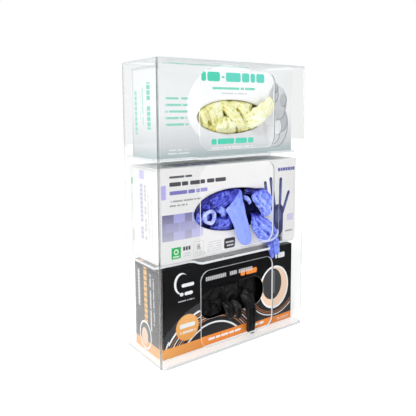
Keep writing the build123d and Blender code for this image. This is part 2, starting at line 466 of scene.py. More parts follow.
# ---------------------------------------------------------------- cartons
def dome(share):
    """0 at both ends of a panel and 1 in its middle, with a flat top."""
    return 1.0 - (2.0 * share - 1.0) ** 4


def mouth_radius(kind, width, height, angle):
    """How far a mouth's edge is from its centre, in one direction."""
    across, up = math.cos(angle), math.sin(angle)
    if kind == "oval":
        return 1.0 / math.hypot(across / (width / 2), up / (height / 2))
    low, high = 0.0, width
    straight = (width - height) / 2
    for step in range(40):
        trial = (low + high) / 2
        beyond = max(abs(trial * across) - straight, 0.0)
        if math.hypot(beyond, trial * up) < height / 2:
            low = trial
        else:
            high = trial
    return low


# Each mouth's kind, its width, height and drop below the middle in mm, and the share of the bulge
# setting that its carton takes.
MOUTHS = {
    "lower": ("slot", 124.0, 46.0, 0.0, 1.0),
    "middle": ("oval", 148.0, 62.0, 2.0, 1.2),
    "upper": ("oval", 125.0, 48.0, 7.5, 0.7),
}


# The front round a mouth: rings of quads, how they crowd towards it, the nick of every second
# point of its cut edge and the wave of its lip, in mm, and how fast the wave dies away.
RINGS, CROWDING = 9, 1.4
NICK, LIP, LIP_FADE = 0.35, 0.8, 14.0
# The ends, in mm: the slot above an outer flap, how far that flap leans out on the left and on
# the right, how deep the flaps behind it lie, how far a dust flap reaches, and their rows of quads.
SLOT, LEAN_LEFT, LEAN_RIGHT = 2.2, 1.3, 0.2
HALF_FLAP_DEPTH, DUST_FLAP_DEPTH, DUST_FLAP_REACH = 1.0, 1.9, 30.0
FLAP_ROWS = 6
# How the board waves: about this many waves to the metre, each this many mm deep.
BOARD_GRAIN, BOARD_WAVE = 22.0, 0.35
# An outer flap is narrower than its end by this share at each side.
FLAP_MARGIN = 0.012


class CartonShell:
    """Builds one folded carton as a thin skin, to be thickened afterwards."""

    def __init__(self, bay, settings):
        self.low, self.high = (Vector(corner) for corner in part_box(bay + "_carton"))
        self.size = self.high - self.low
        self.kind, width, height, drop, self.swell = MOUTHS[bay]
        self.mouth = (width * MM, height * MM)
        self.centre = (self.size.x / 2, self.size.z / 2 - drop * MM)
        self.bulge = settings.bulge
        self.columns = max(4, round(self.size.x / settings.grid))
        self.layers = max(4, round(self.size.y / settings.grid))
        self.rows = max(4, round(self.size.z / settings.grid))
        self.bm = bmesh.new()
        self.net = self.bm.loops.layers.uv.new("net")

    def grid(self, place, columns, rows, net):
        """A panel of quads: place and net each turn two shares into a point."""
        points = [[self.bm.verts.new(place(i / columns, j / rows)) for j in range(rows + 1)]
                  for i in range(columns + 1)]
        for i in range(columns):
            for j in range(rows):
                corners = [(i, j), (i + 1, j), (i + 1, j + 1), (i, j + 1)]
                face = self.bm.faces.new([points[a][b] for a, b in corners])
                for loop, (a, b) in zip(face.loops, corners):
                    loop[self.net].uv = [value * 10 for value in net(a / columns, b / rows)]

    def front(self):
        """The front panel: rings of quads from the mouth's edge out to the panel's edge."""
        size = self.size
        rim = [(i / self.columns, 0.0) for i in range(self.columns)]
        rim += [(1.0, j / self.rows) for j in range(self.rows)]
        rim += [(1.0 - i / self.columns, 1.0) for i in range(self.columns)]
        rim += [(0.0, 1.0 - j / self.rows) for j in range(self.rows)]
        middle = Vector(self.centre)
        loops = []
        for step in range(RINGS + 1):
            share = (step / RINGS) ** CROWDING
            ring = []
            for number, (across, up) in enumerate(rim):
                outer = Vector((across * size.x, up * size.z))
                away = outer - middle
                angle = math.atan2(away.y, away.x)
                reach = mouth_radius(self.kind, *self.mouth, angle)
                nick = NICK * MM * (number % 2) if step == 0 else 0.0
                inner = middle + away.normalized() * (reach + nick)
                spot = inner.lerp(outer, share)
                bow = dome(spot.x / size.x) * dome(spot.y / size.z) * self.swell * self.bulge
                lip = math.exp(-share * LIP_FADE) * LIP * MM * math.sin(3.0 * angle + 1.0)
                point = self.low + Vector((spot.x, lip - bow, spot.y))
                ring.append((self.bm.verts.new(point), spot))
            loops.append(ring)
        count = len(rim)
        for inner, outer in zip(loops, loops[1:]):
            for k in range(count):
                corners = [inner[k], outer[k], outer[(k + 1) % count], inner[(k + 1) % count]]
                face = self.bm.faces.new([vertex for vertex, spot in corners])
                for loop, (vertex, spot) in zip(face.loops, corners):
                    loop[self.net].uv = spot * 10

    def sides(self):
        """Top, bottom and back, each bowed by what is packed behind it."""
        low, size = self.low, self.size
        bow = self.bulge * self.swell

        def top(a, b):
            lift = dome(a) * dome(b) * bow
            return low + Vector((a * size.x, b * size.y, size.z + lift))

        def bottom(a, b):
            return low + Vector((a * size.x, (1 - b) * size.y, 0.0))

        def back(a, b):
            out = dome(a) * dome(b) * bow * 0.5
            return low + Vector(((1 - a) * size.x, size.y + out, b * size.z))

        self.grid(top, self.columns, self.layers, lambda a, b: (a * size.x, size.z + b * size.y))
        self.grid(bottom, self.columns, self.layers, lambda a, b: (a * size.x, (b - 1) * size.y))
        self.grid(back, self.columns, self.rows,
                  lambda a, b: ((2 - a) * size.x + size.y, b * size.z))

    def end(self, side):
        """One end: the outer flap from below, the half flap from above and two dust flaps."""
        low, size = self.low, self.size
        inward = 1.0 if side < 0 else -1.0
        base = 0.0 if side < 0 else size.x
        flap_height = size.z - SLOT * MM
        lean = (LEAN_LEFT if side < 0 else LEAN_RIGHT) * MM

        def point(depth, inset, height):
            return low + Vector((base + inward * inset, depth, height))

        def outer_flap(a, b):
            swell = dome(a) * math.sin(b * math.pi * 0.5) ** 2 * lean
            share = a if side > 0 else 1 - a
            if b > 0:
                share = FLAP_MARGIN + (1 - 2 * FLAP_MARGIN) * share
            return point(share * size.y, -swell, b * flap_height)

        def net(a, b):
            return (base + (a * size.y if side > 0 else (a - 1) * size.y), b * flap_height)

        def folded_net(a, b):
            return (base, b * size.z)

        def half_flap(a, b):
            inset = 0.0 if b == 0 else HALF_FLAP_DEPTH * MM
            return point((1 - a if side > 0 else a) * size.y, inset, size.z * (1 - 0.5 * b))

        def dust_flap(a, b, near):
            inset = 0.0 if a == 0 else DUST_FLAP_DEPTH * MM
            reach = a * DUST_FLAP_REACH * MM
            depth = reach if near else size.y - reach
            upper = (1 - b) if (near == (side < 0)) else b
            return point(depth, inset, upper * size.z)

        self.grid(outer_flap, self.layers, self.rows, net)
        self.grid(half_flap, self.layers, FLAP_ROWS, lambda a, b: (base, size.z * (1 - 0.5 * b)))
        self.grid(lambda a, b: dust_flap(a, b, True), FLAP_ROWS, self.rows, folded_net)
        self.grid(lambda a, b: dust_flap(a, b, False), FLAP_ROWS, self.rows, folded_net)

    def mesh(self, name):
        """Welds the panels at their folds and gives the finished skin."""
        self.front()
        self.sides()
        self.end(-1)
        self.end(1)
        bmesh.ops.remove_doubles(self.bm, verts=self.bm.verts, dist=0.05 * MM)
        for vertex in self.bm.verts:
            vertex.co.y += noise.noise(vertex.co * BOARD_GRAIN) * BOARD_WAVE * MM
        mesh = bpy.data.meshes.new(name)
        self.bm.to_mesh(mesh)
        self.bm.free()
        return smooth(mesh, math.radians(50))


def fold_carton(bay, settings, printed, inside, core):
    """One printed carton, thickened to its board, in place of its plain node."""
    mesh = CartonShell(bay, settings).mesh(bay + "_carton_board")
    piece = new_piece(bay + "_carton_board", mesh, [bay + "_carton"], bay + "_board",
                      printed, inside, core)
    board = piece.modifiers.new("board", "SOLIDIFY")
    board.thickness = settings.board
    board.offset = -1.0
    board.material_offset = 1
    board.material_offset_rim = 2


# ---------------------------------------------------------------- print
WHITE = (0.86, 0.87, 0.88)
TEAL = (0.05, 0.60, 0.42)
GREY = (0.42, 0.44, 0.47)
ORANGE = (0.85, 0.26, 0.04)
BLACK = (0.005, 0.005, 0.006)


def back_start(width, depth):
    """Where a carton's back panel starts on its net: past its front and its right end."""
    return width + depth


def upper_print():
    """White board with teal bands, soft grey overlapping discs and a grey foot."""
    ink = Print("print, white and teal", WHITE)
    ink.fade((0.40, 0.43, 0.45), 58.0, -6.0, 0.80)
    ink.fade((0.24, 0.42, 0.42), 14.0, -4.0, 0.55)
    for x, z, radius, tone, strength in (
            (207, 40, 26, (0.60, 0.61, 0.63), 0.75), (209, 74, 20, (0.64, 0.65, 0.67), 0.8),
            (219, 46, 13, (0.42, 0.43, 0.45), 0.7), (197, 58, 15, (0.74, 0.75, 0.77), 0.8),
            (215, 64, 12, (0.56, 0.57, 0.59), 0.85), (203, 28, 13, (0.70, 0.71, 0.73), 0.8),
            (203, 86, 9, (0.46, 0.47, 0.49), 0.7), (222, 78, 8, (0.46, 0.47, 0.49), 0.8),
            (211, 36, 9, (0.84, 0.85, 0.86), 0.8), (205, 96, 6, (0.40, 0.41, 0.43), 0.7)):
        ink.disc(tone, x, z, radius, 1.3, strength)
        inner = (x - 1.9, z + 1.2, radius, 1.3)
        ink.crescent((0.22, 0.23, 0.25), (x, z, radius, 1.3), inner, 0.7)
    ink.words(TEAL, 67, 103, (8, 22), 13, 2.4, 3.0)
    ink.words(TEAL, 102.5, 108, (5,), 2.6, 2.0, 1.2)
    ink.words((0.10, 0.62, 0.50), 110, 103, (27, 14, 9, 16), 13, 2.4, 3.0)
    ink.rows(TEAL, 86, 92, 78, 3.4, 6.0, 0.55, 2.2)
    ink.rows(GREY, 102, 85.5, 46, 2.4, 6.0, 0.4, 1.8, 0.6, 3.0)
    ink.rows(TEAL, 10, 43, 34, 38, 8.6, 0.34, 2.1, 0.85, 7.0)
    ink.words(TEAL, 84, 15, (9, 30), 8, 2.0, 2.4)
    ink.words((0.08, 0.62, 0.45), 127, 15, (22, 11), 8, 2.0, 2.4)
    ink.rows(WHITE, 82, 9, 84, 2.4, 5.0, 0.45, 1.7, 0.7, 5.0)
    ink.rows(WHITE, 12, 5, 34, 9, 4.6, 0.4, 2.0, 0.8, 11.0)
    for x, width, low, high, strength in ((-27, 9, 38, 100, 0.9), (-40, 3.4, 44, 94, 0.6),
                                          (-47, 2.2, 50, 88, 0.4), (-62, 7.0, 30, 96, 0.75)):
        ink.column(TEAL, x, low, width, high - low, 7.0 if width > 5 else 2.4, strength)
    back = back_start(240.8, 70.0)
    ink.words(TEAL, back + 60, 84, (34, 26, 40), 12, 3.0, 3.0)
    ink.rows(GREY, back + 40, 26, 160, 44, 6.4, 0.4, 2.4, 0.7, 13.0)
    ink.words(TEAL, 40, 160, (30, 44, 24, 38), 14, 4.0, 3.0)
    return ink.finish(0.36)


def middle_print():
    """Warm grey board with a lavender block band and small coloured signs."""
    ink = Print("print, grey and lavender", (0.81, 0.80, 0.80))
    text, fine, violet = (0.07, 0.07, 0.08), (0.15, 0.15, 0.17), (0.20, 0.18, 0.50)
    band = ((-14, 17, 0.62), (3, 18, 0.50), (21, 17, 0.78), (38, 12, 0.58), (50, 19, 0.86))
    for row, (z, height) in enumerate(((32, 12), (44, 12), (56, 12))):
        for number, (x, width, light) in enumerate(band):
            start = x + (8.5 if row % 2 else 0.0)
            tone = light - 0.22 * ((row + number) % 2)
            wide = min(width, 70 - start) if start > 3 else width + start - 3
            ink.block((0.42 * tone, 0.40 * tone, 0.92 * tone), max(start, 3), z, wide, height)
            ink.block((0.50 * light, 0.49 * light, 0.86 * light), max(start, 3), z, 1.1, height)
    ink.fade_in(ink.block_share(3, 32, 69, 36), (0.72, 0.71, 0.84), 74.0, 34.0, 0.55)
    ink.block((0.45, 0.42, 0.80), 2, 89, 9, 19)
    ink.words((0.10, 0.10, 0.11), 15, 117, (24, 11), 3.0, 1.4, 1.4)
    ink.words(text, 15, 106, (18, 10), 5.6, 1.6, 1.4)
    ink.words(text, 48, 106, (26,), 5.6, 1.6, 1.4)
    ink.words(text, 77.5, 106, (13, 19), 5.6, 1.6, 1.4)
    ink.words(violet, 15, 94.5, (28, 11), 5.2, 1.6, 1.4)
    ink.words((0.32, 0.30, 0.62), 58, 94.5, (20,), 5.2, 1.6, 1.4)
    ink.rows(fine, 15, 84.5, 52, 2.4, 6.0, 0.5, 1.7, 0.8, 2.0)
    ink.rows(fine, 15, 78.5, 28, 2.4, 6.0, 0.5, 1.7, 0.8, 4.0)
    ink.block((0.02, 0.46, 0.11), 17, 6, 15, 16, 1.0)
    ink.ring((0.80, 0.90, 0.82), 24.5, 15.5, 3.8, 1.5)
    ink.rows((0.75, 0.88, 0.78), 19.5, 7.8, 10, 2.0, 6.0, 0.5, 1.4)
    ink.words((0.06, 0.06, 0.07), 35.5, 15.6, (3.4, 3.4, 3.4), 5.6, 0.9, 1.0)
    ink.rows(GREY, 35, 7, 13, 6.5, 3.4, 0.4, 1.4, 0.7, 6.0)
    ink.frame((0.52, 0.52, 0.54), 53, 4, 18, 21, 2.5, 0.5)
    ink.ring((0.10, 0.10, 0.11), 62, 17, 3.7, 0.8)
    ink.disc((0.20, 0.20, 0.22), 62, 17, 1.7)
    ink.rows(GREY, 56, 6.5, 12, 4.6, 2.6, 0.4, 1.3, 0.7, 8.0)
    ink.rows(GREY, 78, 6, 25, 16, 3.4, 0.34, 1.5, 0.65, 9.0)
    ink.block((0.03, 0.03, 0.035), 108, 5.5, 20.5, 15.5, 3.2)
    ink.rows((0.70, 0.70, 0.72), 111, 8.4, 15, 10.2, 5.2, 0.5, 2.4, 0.9, 5.0)
    navy, slate = (0.035, 0.04, 0.15), (0.13, 0.15, 0.44)
    for tip, root, width in (((188, 96), (196, 52), 5.6), ((199.5, 101), (208, 50), 6.0),
                             ((220, 99), (218, 50), 6.0), ((238, 77), (221, 38), 5.6)):
        ink.stroke(navy, tip, root, width)
        ink.stroke(slate, (tip[0] + 1.0, tip[1] - 3), (root[0] + 1.0, root[1] + 4), 1.8)
    ink.block(navy, 203, 10, 23, 50, 9)
    ink.block(navy, 205, 0, 17, 30, 2)
    ink.disc((0.10, 0.12, 0.30), 215, 42, 7.0, 1.6, 0.8)
    ink.fade_in(ink.block_share(203, 0, 23, 26), (0.03, 0.03, 0.05), 26.0, 2.0, 0.7)
    ink.frame((0.66, 0.65, 0.66), 216, 8, 34, 98, 3.0, 0.5)
    ink.block((0.62, 0.58, 0.78), 235, 31, 14, 11)
    ink.words((0.10, 0.11, 0.36), 214, 112, (5, 4, 5, 4, 5, 4, 5), 5.2, 0.9, 0.9)
    ink.rows((0.20, 0.20, 0.22), 232, 13, 16, 3.6, 6.0, 0.5, 1.9, 0.8, 3.0)
    ink.block((0.52, 0.49, 0.78), -47, 114, 13, 12)
    ink.block((0.03, 0.50, 0.13), -74, 104, 6.0, 9, 0.8)
    for x, width, low, high, tone, strength in (
            (-46, 7, 30, 108, (0.30, 0.28, 0.55), 0.75), (-34, 4, 28, 106, (0.25, 0.25, 0.30), 0.6),
            (-25, 2.6, 34, 98, (0.35, 0.34, 0.45), 0.55),
            (-16, 2.2, 22, 90, (0.40, 0.40, 0.44), 0.45),
            (-72, 2.6, 62, 98, (0.05, 0.45, 0.15), 0.6),
            (-71, 3.4, 16, 40, (0.12, 0.12, 0.13), 0.7)):
        ink.column(tone, x, low, width, high - low, 6.0 if width > 3.5 else 2.2, strength)
    back = back_start(254.3, 76.0)
    ink.block((0.40, 0.38, 0.72), back, 32, 254.3, 30)
    ink.rows(fine, back + 20, 72, 190, 44, 6.4, 0.45, 2.4, 0.75, 12.0)
    ink.words(text, 30, 152, (22, 14, 26, 12, 30, 16), 9.0, 3.0, 1.5)
    ink.words(violet, 30, 138, (24, 20, 26), 8.0, 3.0, 1.5)
    return ink.finish(0.34)


def lower_print():
    """Glossy black board with concentric white and copper arcs over an orange foot."""
    ink = Print("print, black and orange", BLACK)
    ink.fade((0.030, 0.030, 0.034), 76.0, 16.0, 0.9)
    copper = (0.55, 0.20, 0.08)
    for radius, line, tone, strength in (
            (104, 16, (0.06, 0.06, 0.065), 0.9), (94, 3.0, WHITE, 1.0), (88, 1.2, copper, 1.0),
            (84.5, 1.6, WHITE, 0.95), (80, 1.5, copper, 1.0), (76.5, 0.9, WHITE, 0.9),
            (73.5, 1.3, copper, 0.9), (66, 2.6, WHITE, 0.9)):
        ink.arc(tone, 86, -32, radius, line, (2, 14, 168, 60), strength)
    for radius, line, tone in ((56, 1.5, WHITE), (52.5, 0.9, copper), (50, 0.8, copper)):
        ink.arc(tone, 208, 70, radius, line, (150, 10, 94, 46), 0.9)
    ink.block(ORANGE, -80, 0, 420, 11.5)
    ink.block(ORANGE, 2, 11, 150, 4.0, 2.0)
    foot = ink.block_share(-80, 0, 420, 15)
    ink.fade_in(foot, (0.95, 0.47, 0.14), 90.0, 10.0, 0.75, upright=False)
    ink.words(WHITE, 78, 6.5, (12, 8, 14, 9, 12), 3.6, 1.6, 1.2)
    ink.words(WHITE, 164, 5.0, (12, 9), 3.8, 1.4, 1.2)
    ink.rows(WHITE, 214, 3.5, 26, 4.4, 2.4, 0.45, 1.6, 0.85, 3.0)
    ink.disc((0.86, 0.38, 0.09), 40, 38, 19)
    ink.fade_in(ink.disc_share(40, 38, 19), (0.95, 0.56, 0.22), 24.0, 58.0, 0.6)
    ink.words(WHITE, 27, 38, (26,), 6.4, 1.6, 2.6)
    ink.rows(WHITE, 26, 30, 28, 3.4, 6.0, 0.6, 2.0, 0.9, 2.0)
    ink.disc((0.86, 0.62, 0.46), 208, 60, 30, 1.12)
    ink.disc((0.05, 0.05, 0.055), 203, 66, 20, 1.25)
    ink.block((0.16, 0.16, 0.17), 202, 50, 6.0, 38, 3.0)
    ink.ring(WHITE, 208, 60, 31, 2.6, 1.12)
    ink.words(ORANGE, 138, 92, (9, 22), 8.0, 1.8, 2.4)
    ink.rows((0.62, 0.62, 0.63), 70, 97, 92, 6.0, 12.0, 0.5, 3.4, 0.75, 6.0)
    ink.words(WHITE, 209, 106, (4.0, 15.0), 8.5, 1.8, 2.0)
    ink.crescent(WHITE, (31, 103, 12, 1.25), (33.6, 102, 11, 1.25), 1.0)
    ink.words(WHITE, 31, 97, (21,), 5.0, 1.6, 2.5)
    ink.words(WHITE, 28, 85, (6, 14), 5.0, 1.6, 2.5)
    ink.rows(WHITE, 24, 77, 28, 1.6, 5.0, 0.8, 1.4, 0.7, 5.0)
    ink.column((0.85, 0.42, 0.06), -43, 40, 9, 83, 8.0, 0.95)
    ink.column(WHITE, -61, 62, 6, 54, 5.0, 0.8)
    ink.column(WHITE, -26, 34, 3.6, 82, 2.4, 0.8)
    ink.column(WHITE, -17, 44, 2.6, 68, 2.0, 0.7)
    ink.ring(WHITE, -42, 22, 17, 2.2, 1.25)
    ink.disc((0.80, 0.56, 0.40), -44, 20, 9, 1.4)
    back = back_start(246.0, 70.0)
    ink.block(ORANGE, back, 0, 246, 11.5)
    ink.ring(WHITE, back + 186, 62, 34, 2.4)
    ink.words(ORANGE, back + 24, 92, (18, 14, 22), 10.0, 3.0, 2.0)
    ink.rows((0.60, 0.60, 0.62), back + 24, 28, 110, 54, 6.6, 0.4, 2.4, 0.75, 14.0)
    ink.words(WHITE, 30, 144, (20, 12, 24, 14), 9.0, 3.0, 2.0)
    ink.block(ORANGE, 0, 176, 246, 12)
    ink.set(Specular_IOR_Level=0.3)
    return ink.finish(0.30, 0.004)


# ---------------------------------------------------------------- gloves
# What the film's creases grow from: the same folds come out each time.
FILM_SEED = 11


def mouth_middle(bay):
    """The middle of a carton's mouth, on its face."""
    low, high = (Vector(corner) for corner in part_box(bay + "_carton"))
    drop = MOUTHS[bay][3]
    return Vector(((low.x + high.x) / 2, low.y, (low.z + high.z) / 2 - drop * MM))


MOUTH_MIDDLE = {bay: mouth_middle(bay) for bay in BAYS}


def mouth_point(bay, x, out, z):
    """A point from the middle of a mouth: to the right, out of the carton and up, in mm."""
    return MOUTH_MIDDLE[bay] + Vector((x, -out, z)) * MM


def room_inside(bay, x, z):
    """How far a point is inside the edge of a mouth, in millimetres, measured from its middle."""
    kind, width, height = MOUTHS[bay][:3]
    away = math.hypot(x, z)
    return mouth_radius(kind, width, height, math.atan2(z, x)) - away


def blend(points, share):
    """A smooth course through a list of equal-length tuples, from its first to its last."""
    place = min(share, 0.99999) * (len(points) - 1)
    index = int(place)
    t = place - index
    before, start = points[max(index - 1, 0)], points[index]
    end, after = points[index + 1], points[min(index + 2, len(points) - 1)]
    return tuple(0.5 * (2 * b + (c - a) * t + (2 * a - 5 * b + 4 * c - d) * t * t
                        + (3 * b - a - 3 * c + d) * t ** 3)
                 for a, b, c, d in zip(before, start, end, after))


def crumple(point, size, seed):
    """Creased noise: smooth facets that meet in sharp ridges, from about -0.6 to 0.4."""
    spot = point / (size * MM) + Vector((seed * 7.3, seed * 1.7, seed * 3.1))
    warp = noise.noise_vector(spot * 0.7) * 0.6
    broad = abs(noise.noise(spot + warp))
    fine = abs(noise.noise(spot * 2.3 + warp * 2.0))
    return 0.4 - 1.5 * broad - 0.6 * fine


# How film keeps clear of the board, in mm from its face. Film that spills out of a mouth stands
# this far before the panel, may lie this deep in the mouth, with a steep slope between the two,
# and hangs out no farther than the last.
CLEAR, DEEPEST, SLOPE, FARTHEST = 3.0, -14.0, 8.5, 17.2
# Film packed behind the board is this deep behind it, and rises as it goes in from the edge.
BEHIND, RISE = 1.6, 1.1


def keep_clear(bay, point, outside):
    """The point, moved clear of the board round the mouth and of the front panel.

    Film that spills out of the mouth stays before the board, and packed film behind it.
    """
    x, out, z = (point - MOUTH_MIDDLE[bay]) / MM
    out = -out
    room = room_inside(bay, x, z)
    if outside:
        floor = max(CLEAR - SLOPE * max(room, 0.0), DEEPEST)
        return mouth_point(bay, x, max(min(out, FARTHEST), floor), z)
    return mouth_point(bay, x, min(out, RISE * max(room, 0.0) - BEHIND), z)


# How firmly a point of the film is held as it creases: at a root or an edge, at a cuff's rim and
# anywhere else.
FIXED, RIM_HOLD, LOOSE = 1.0, 0.4, 0.04
# The shares of a tube's length where its held root ends and where the rim of a cuff starts.
ROOT_END, RIM_START = 0.08, 0.95
# A tube: the shares of its length over which its root opens and its tip closes, and the sides of
# the bead round a cuff.
ROOT, TIP = 0.06, 0.14
BEAD_SIDES = 6
# What is left of a tube's width at its very tip, and the share of its length over which its
# direction is taken.
TIP_WIDTH, STEP = 0.02, 0.02
# A pillow: its grid, and how far behind the board its edges are tucked, in mm.
PILLOW_COLUMNS, PILLOW_ROWS, PILLOW_TUCK = 60, 48, 9.0
# How far apart the broad and the fine creases of tubes and pillows are, in mm, and how much of
# the broad ones' height the fine ones have.
TUBE_CREASES, TUBE_FINE = (10.0, 4.0), 0.3
PILLOW_CREASES, PILLOW_FINE = (13.0, 5.0), 0.4
# Painted light and shade: how much paler a point is painted for each mm farther out, for a broad
# and a fine crease and a fold.
TUBE_SHADES = (0.055, 0.45, 0.30, 0.12)
PILLOW_SHADES = (0.05, 0.55, 0.35, 0.30)
# How far out of the mouth a tube has its own tone, in mm; nearer the mouth it is painted darker, as
# shade.
FINGER_OUT = 7.0
# About the middle of what crumple gives, and of a pillow's folds.
CREASE_MIDDLE, FOLD_MIDDLE = -0.25, 0.6


def shaded(shades, out, broad, fine, fold):
    """How much paler a point is painted than its film's own tone: painted light and shade from how
    far out it is and where it lies on each crease and fold.
    """
    by_out, by_broad, by_fine, by_fold = shades
    creases = by_broad * (broad - CREASE_MIDDLE) + by_fine * (fine - CREASE_MIDDLE)
    return by_out * out + creases + by_fold * fold


class Film:
    """The film of one glove while it is being laid: its mesh, and each point's tone, which is
    painted light and shade, and its hold.
    """

    def __init__(self, bay):
        self.bay = bay
        self.bm = bmesh.new()
        self.tone = self.bm.verts.layers.float.new("tone")
        self.held = self.bm.verts.layers.float.new("held")
        self.outside = self.bm.verts.layers.float.new("outside")

    def add_grid(self, rows, around, outside=1.0):
        """Joins rows of (point, tone, held) with quads, round each row where around is true."""
        made = []
        for row in rows:
            line = []
            for point, tone, held in row:
                vertex = self.bm.verts.new(point)
                vertex[self.tone], vertex[self.held], vertex[self.outside] = tone, held, outside
                line.append(vertex)
            made.append(line)
        count = len(made[0])
        for first, second in zip(made, made[1:]):
            for k in range(count if around else count - 1):
                after = (k + 1) % count
                self.bm.faces.new((first[k], second[k], second[after], first[after]))

    def add_bead(self, rim, radius, tone):
        """The rolled edge of a cuff: a thin ring along a closed line of points."""
        count = len(rim)
        middle = sum(rim, Vector()) / count
        rings = []
        for k in range(count):
            along = (rim[(k + 1) % count] - rim[k - 1]).normalized()
            outward = rim[k] - middle
            outward = (outward - along * outward.dot(along)).normalized()
            third = along.cross(outward)
            ring = []
            for side in range(BEAD_SIDES):
                angle = side * math.tau / BEAD_SIDES
                away = math.cos(angle) * outward + math.sin(angle) * third
                ring.append((rim[k] + radius * MM * away, tone, FIXED))
            rings.append(ring)
        rings.append(rings[0])
        self.add_grid(rings, True)

    def add_tube(self, stations, folds, seed, bead=None, *, tone, pleats=3, around=44, along=46,
                 crease=1.0, level=False, tucked=False):
        """A flattened tube of film, such as a finger or a cuff, from its root to its end.

        A station is (x, out, z, half width, half depth) in millimetres from the middle of the
        mouth, and may end in a turn in degrees. The end is closed and round, or open with a bead
        of the given radius. A level tube hangs down with its stations level; a tucked one stays
        behind the board.
        """
        bay = self.bay
        stations = [(*station, 0.0)[:6] for station in stations]
        by_out, by_broad, by_fine, by_fold = TUBE_SHADES
        firm = min(crease, 1.0)
        shades = (by_out, firm * by_broad, firm * by_fine, by_fold)
        rows = []
        for i in range(along + 1):
            share = i / along
            x, out, z, wide, deep, turn = blend(stations, share)
            centre = mouth_point(bay, x, out, z)
            near = min(max(share, STEP), 1 - STEP)
            ahead = mouth_point(bay, *blend(stations, near + STEP)[:3])
            behind = mouth_point(bay, *blend(stations, near - STEP)[:3])
            tangent = (ahead - behind).normalized()
            across = tangent.cross(Vector((0, -1, 0))).normalized()
            facing = across.cross(tangent)
            spin = Matrix.Rotation(math.radians(turn), 3, tangent)
            across, facing = spin @ across, spin @ facing
            if level:
                across, facing = Vector((-1, 0, 0)), Vector((0, -1, 0))
            root = min(share / ROOT, 1.0) ** 0.5
            ending = max((share - (1 - TIP)) / TIP, 0.0)
            tip = 1.0 if bead else max(1 - ending ** 2.2, 0.0) ** 0.5
            sway = seed * 2.0 + 2.5 * share + 1.3 * math.sin(5 * share + seed)
            flattened = folds * (0.3 + 0.7 * (1 - share))
            row = []
            for k in range(around):
                angle = k * math.tau / around
                c, s = math.cos(angle), math.sin(angle)
                wide_share = math.copysign(abs(c) ** 0.75, c)
                pleat = 1.0 - 2.0 * abs(math.sin(c * pleats * 1.9 + sway))
                depth = deep * s + flattened * pleat * (1 if s >= 0 else 0.3)
                spread = across * wide * wide_share + facing * depth
                point = centre + spread * (MM * root * max(tip, TIP_WIDTH))
                broad = crumple(point, TUBE_CREASES[0], seed)
                fine = crumple(point, TUBE_CREASES[1], seed + 4)
                outward = (across * wide_share * deep + facing * s * wide).normalized()
                lift = (broad + TUBE_FINE * fine) * crease * root * max(tip, TIP_WIDTH)
                # Painted shade deep in the mouth and in creases, painted light on ridges.
                shade = tone + shaded(shades, out - FINGER_OUT, broad, fine, pleat * (1 - share))
                at_rim = bead and share > RIM_START
                held = FIXED if share < ROOT_END else RIM_HOLD if at_rim else LOOSE
                row.append((keep_clear(bay, point + outward * lift * MM, not tucked), shade, held))
            rows.append(row)
        self.add_grid(rows, True, 0.0 if tucked else 1.0)
        if bead:
            self.add_bead([point for point, shade, held in rows[-1]], bead, 1.0)

    def add_pillow(self, box, bulge, folds, fold_count, towards, seed, *, tone, crease=1.8):
        """Gathered film that fills part of a mouth, with folds that run towards a point."""
        bay = self.bay
        left, right, bottom, top = box
        grid = []
        for i in range(PILLOW_COLUMNS + 1):
            line = []
            for j in range(PILLOW_ROWS + 1):
                a, b = i / PILLOW_COLUMNS, j / PILLOW_ROWS
                x = left + (right - left) * a
                z = bottom + (top - bottom) * b
                round_off = (1 - abs(2 * a - 1) ** 3) * (1 - abs(2 * b - 1) ** 3)
                angle = math.atan2(x - towards[0], abs(z - towards[1]) + 8.0)
                wander = 1.8 * noise.noise(Vector((x, z, seed * 9)) / 15.0)
                fold = abs(math.sin(angle * fold_count + wander + seed))
                spot = Vector((x, z, 0)) * MM
                broad = crumple(spot, PILLOW_CREASES[0], seed)
                fine = crumple(spot, PILLOW_CREASES[1], seed + 2)
                out = (bulge + PILLOW_TUCK) * round_off ** 0.45 - PILLOW_TUCK
                out += folds * (fold - FOLD_MIDDLE) * round_off
                out += crease * (broad + PILLOW_FINE * fine) * round_off
                # Painted shade deep in the mouth and in creases, painted light on ridges.
                shade = tone + shaded(PILLOW_SHADES, out - bulge, broad, fine, fold - FOLD_MIDDLE)
                slide = 1.2 * noise.noise(Vector((x, z, seed)) / 6.0) * round_off
                edge = i in (0, PILLOW_COLUMNS) or j in (0, PILLOW_ROWS)
                point = keep_clear(bay, mouth_point(bay, x + slide, out, z + slide), False)
                line.append((point, shade, FIXED if edge else LOOSE))
            grid.append(line)
        self.add_grid(grid, False, 0.0)

    def mesh(self, name):
        """The finished film as a mesh."""
        bmesh.ops.remove_doubles(self.bm, verts=self.bm.verts, dist=0.01 * MM)
        mesh = bpy.data.meshes.new(name)
        self.bm.to_mesh(mesh)
        self.bm.free()
        return mesh


# The sharpest bend that still changes the tone, and the shortest edge that counts, in mm.
SHARPEST, SHORTEST_EDGE = 0.5, 0.2


def shade_folds(mesh, strength):
    """Paints highlight into the tone along ridges and shade along creases, by how sharply the film
    bends.
    """
    bm = bmesh.new()
    bm.from_mesh(mesh)
    bm.normal_update()
    tone = bm.verts.layers.float["tone"]
    bends = []
    for vertex in bm.verts:
        near = [edge.other_vert(vertex).co for edge in vertex.link_edges]
        if len(near) < 3:
            bends.append(0.0)
            continue
        middle = sum(near, Vector()) / len(near)
        size = sum((spot - vertex.co).length for spot in near) / len(near)
        bend = (vertex.co - middle).dot(vertex.normal) / max(size, SHORTEST_EDGE * MM)
        bends.append(max(min(bend, SHARPEST), -SHARPEST))
    for vertex, bend in zip(bm.verts, bends):
        vertex[tone] += bend * strength
    bm.to_mesh(mesh)
    bm.free()


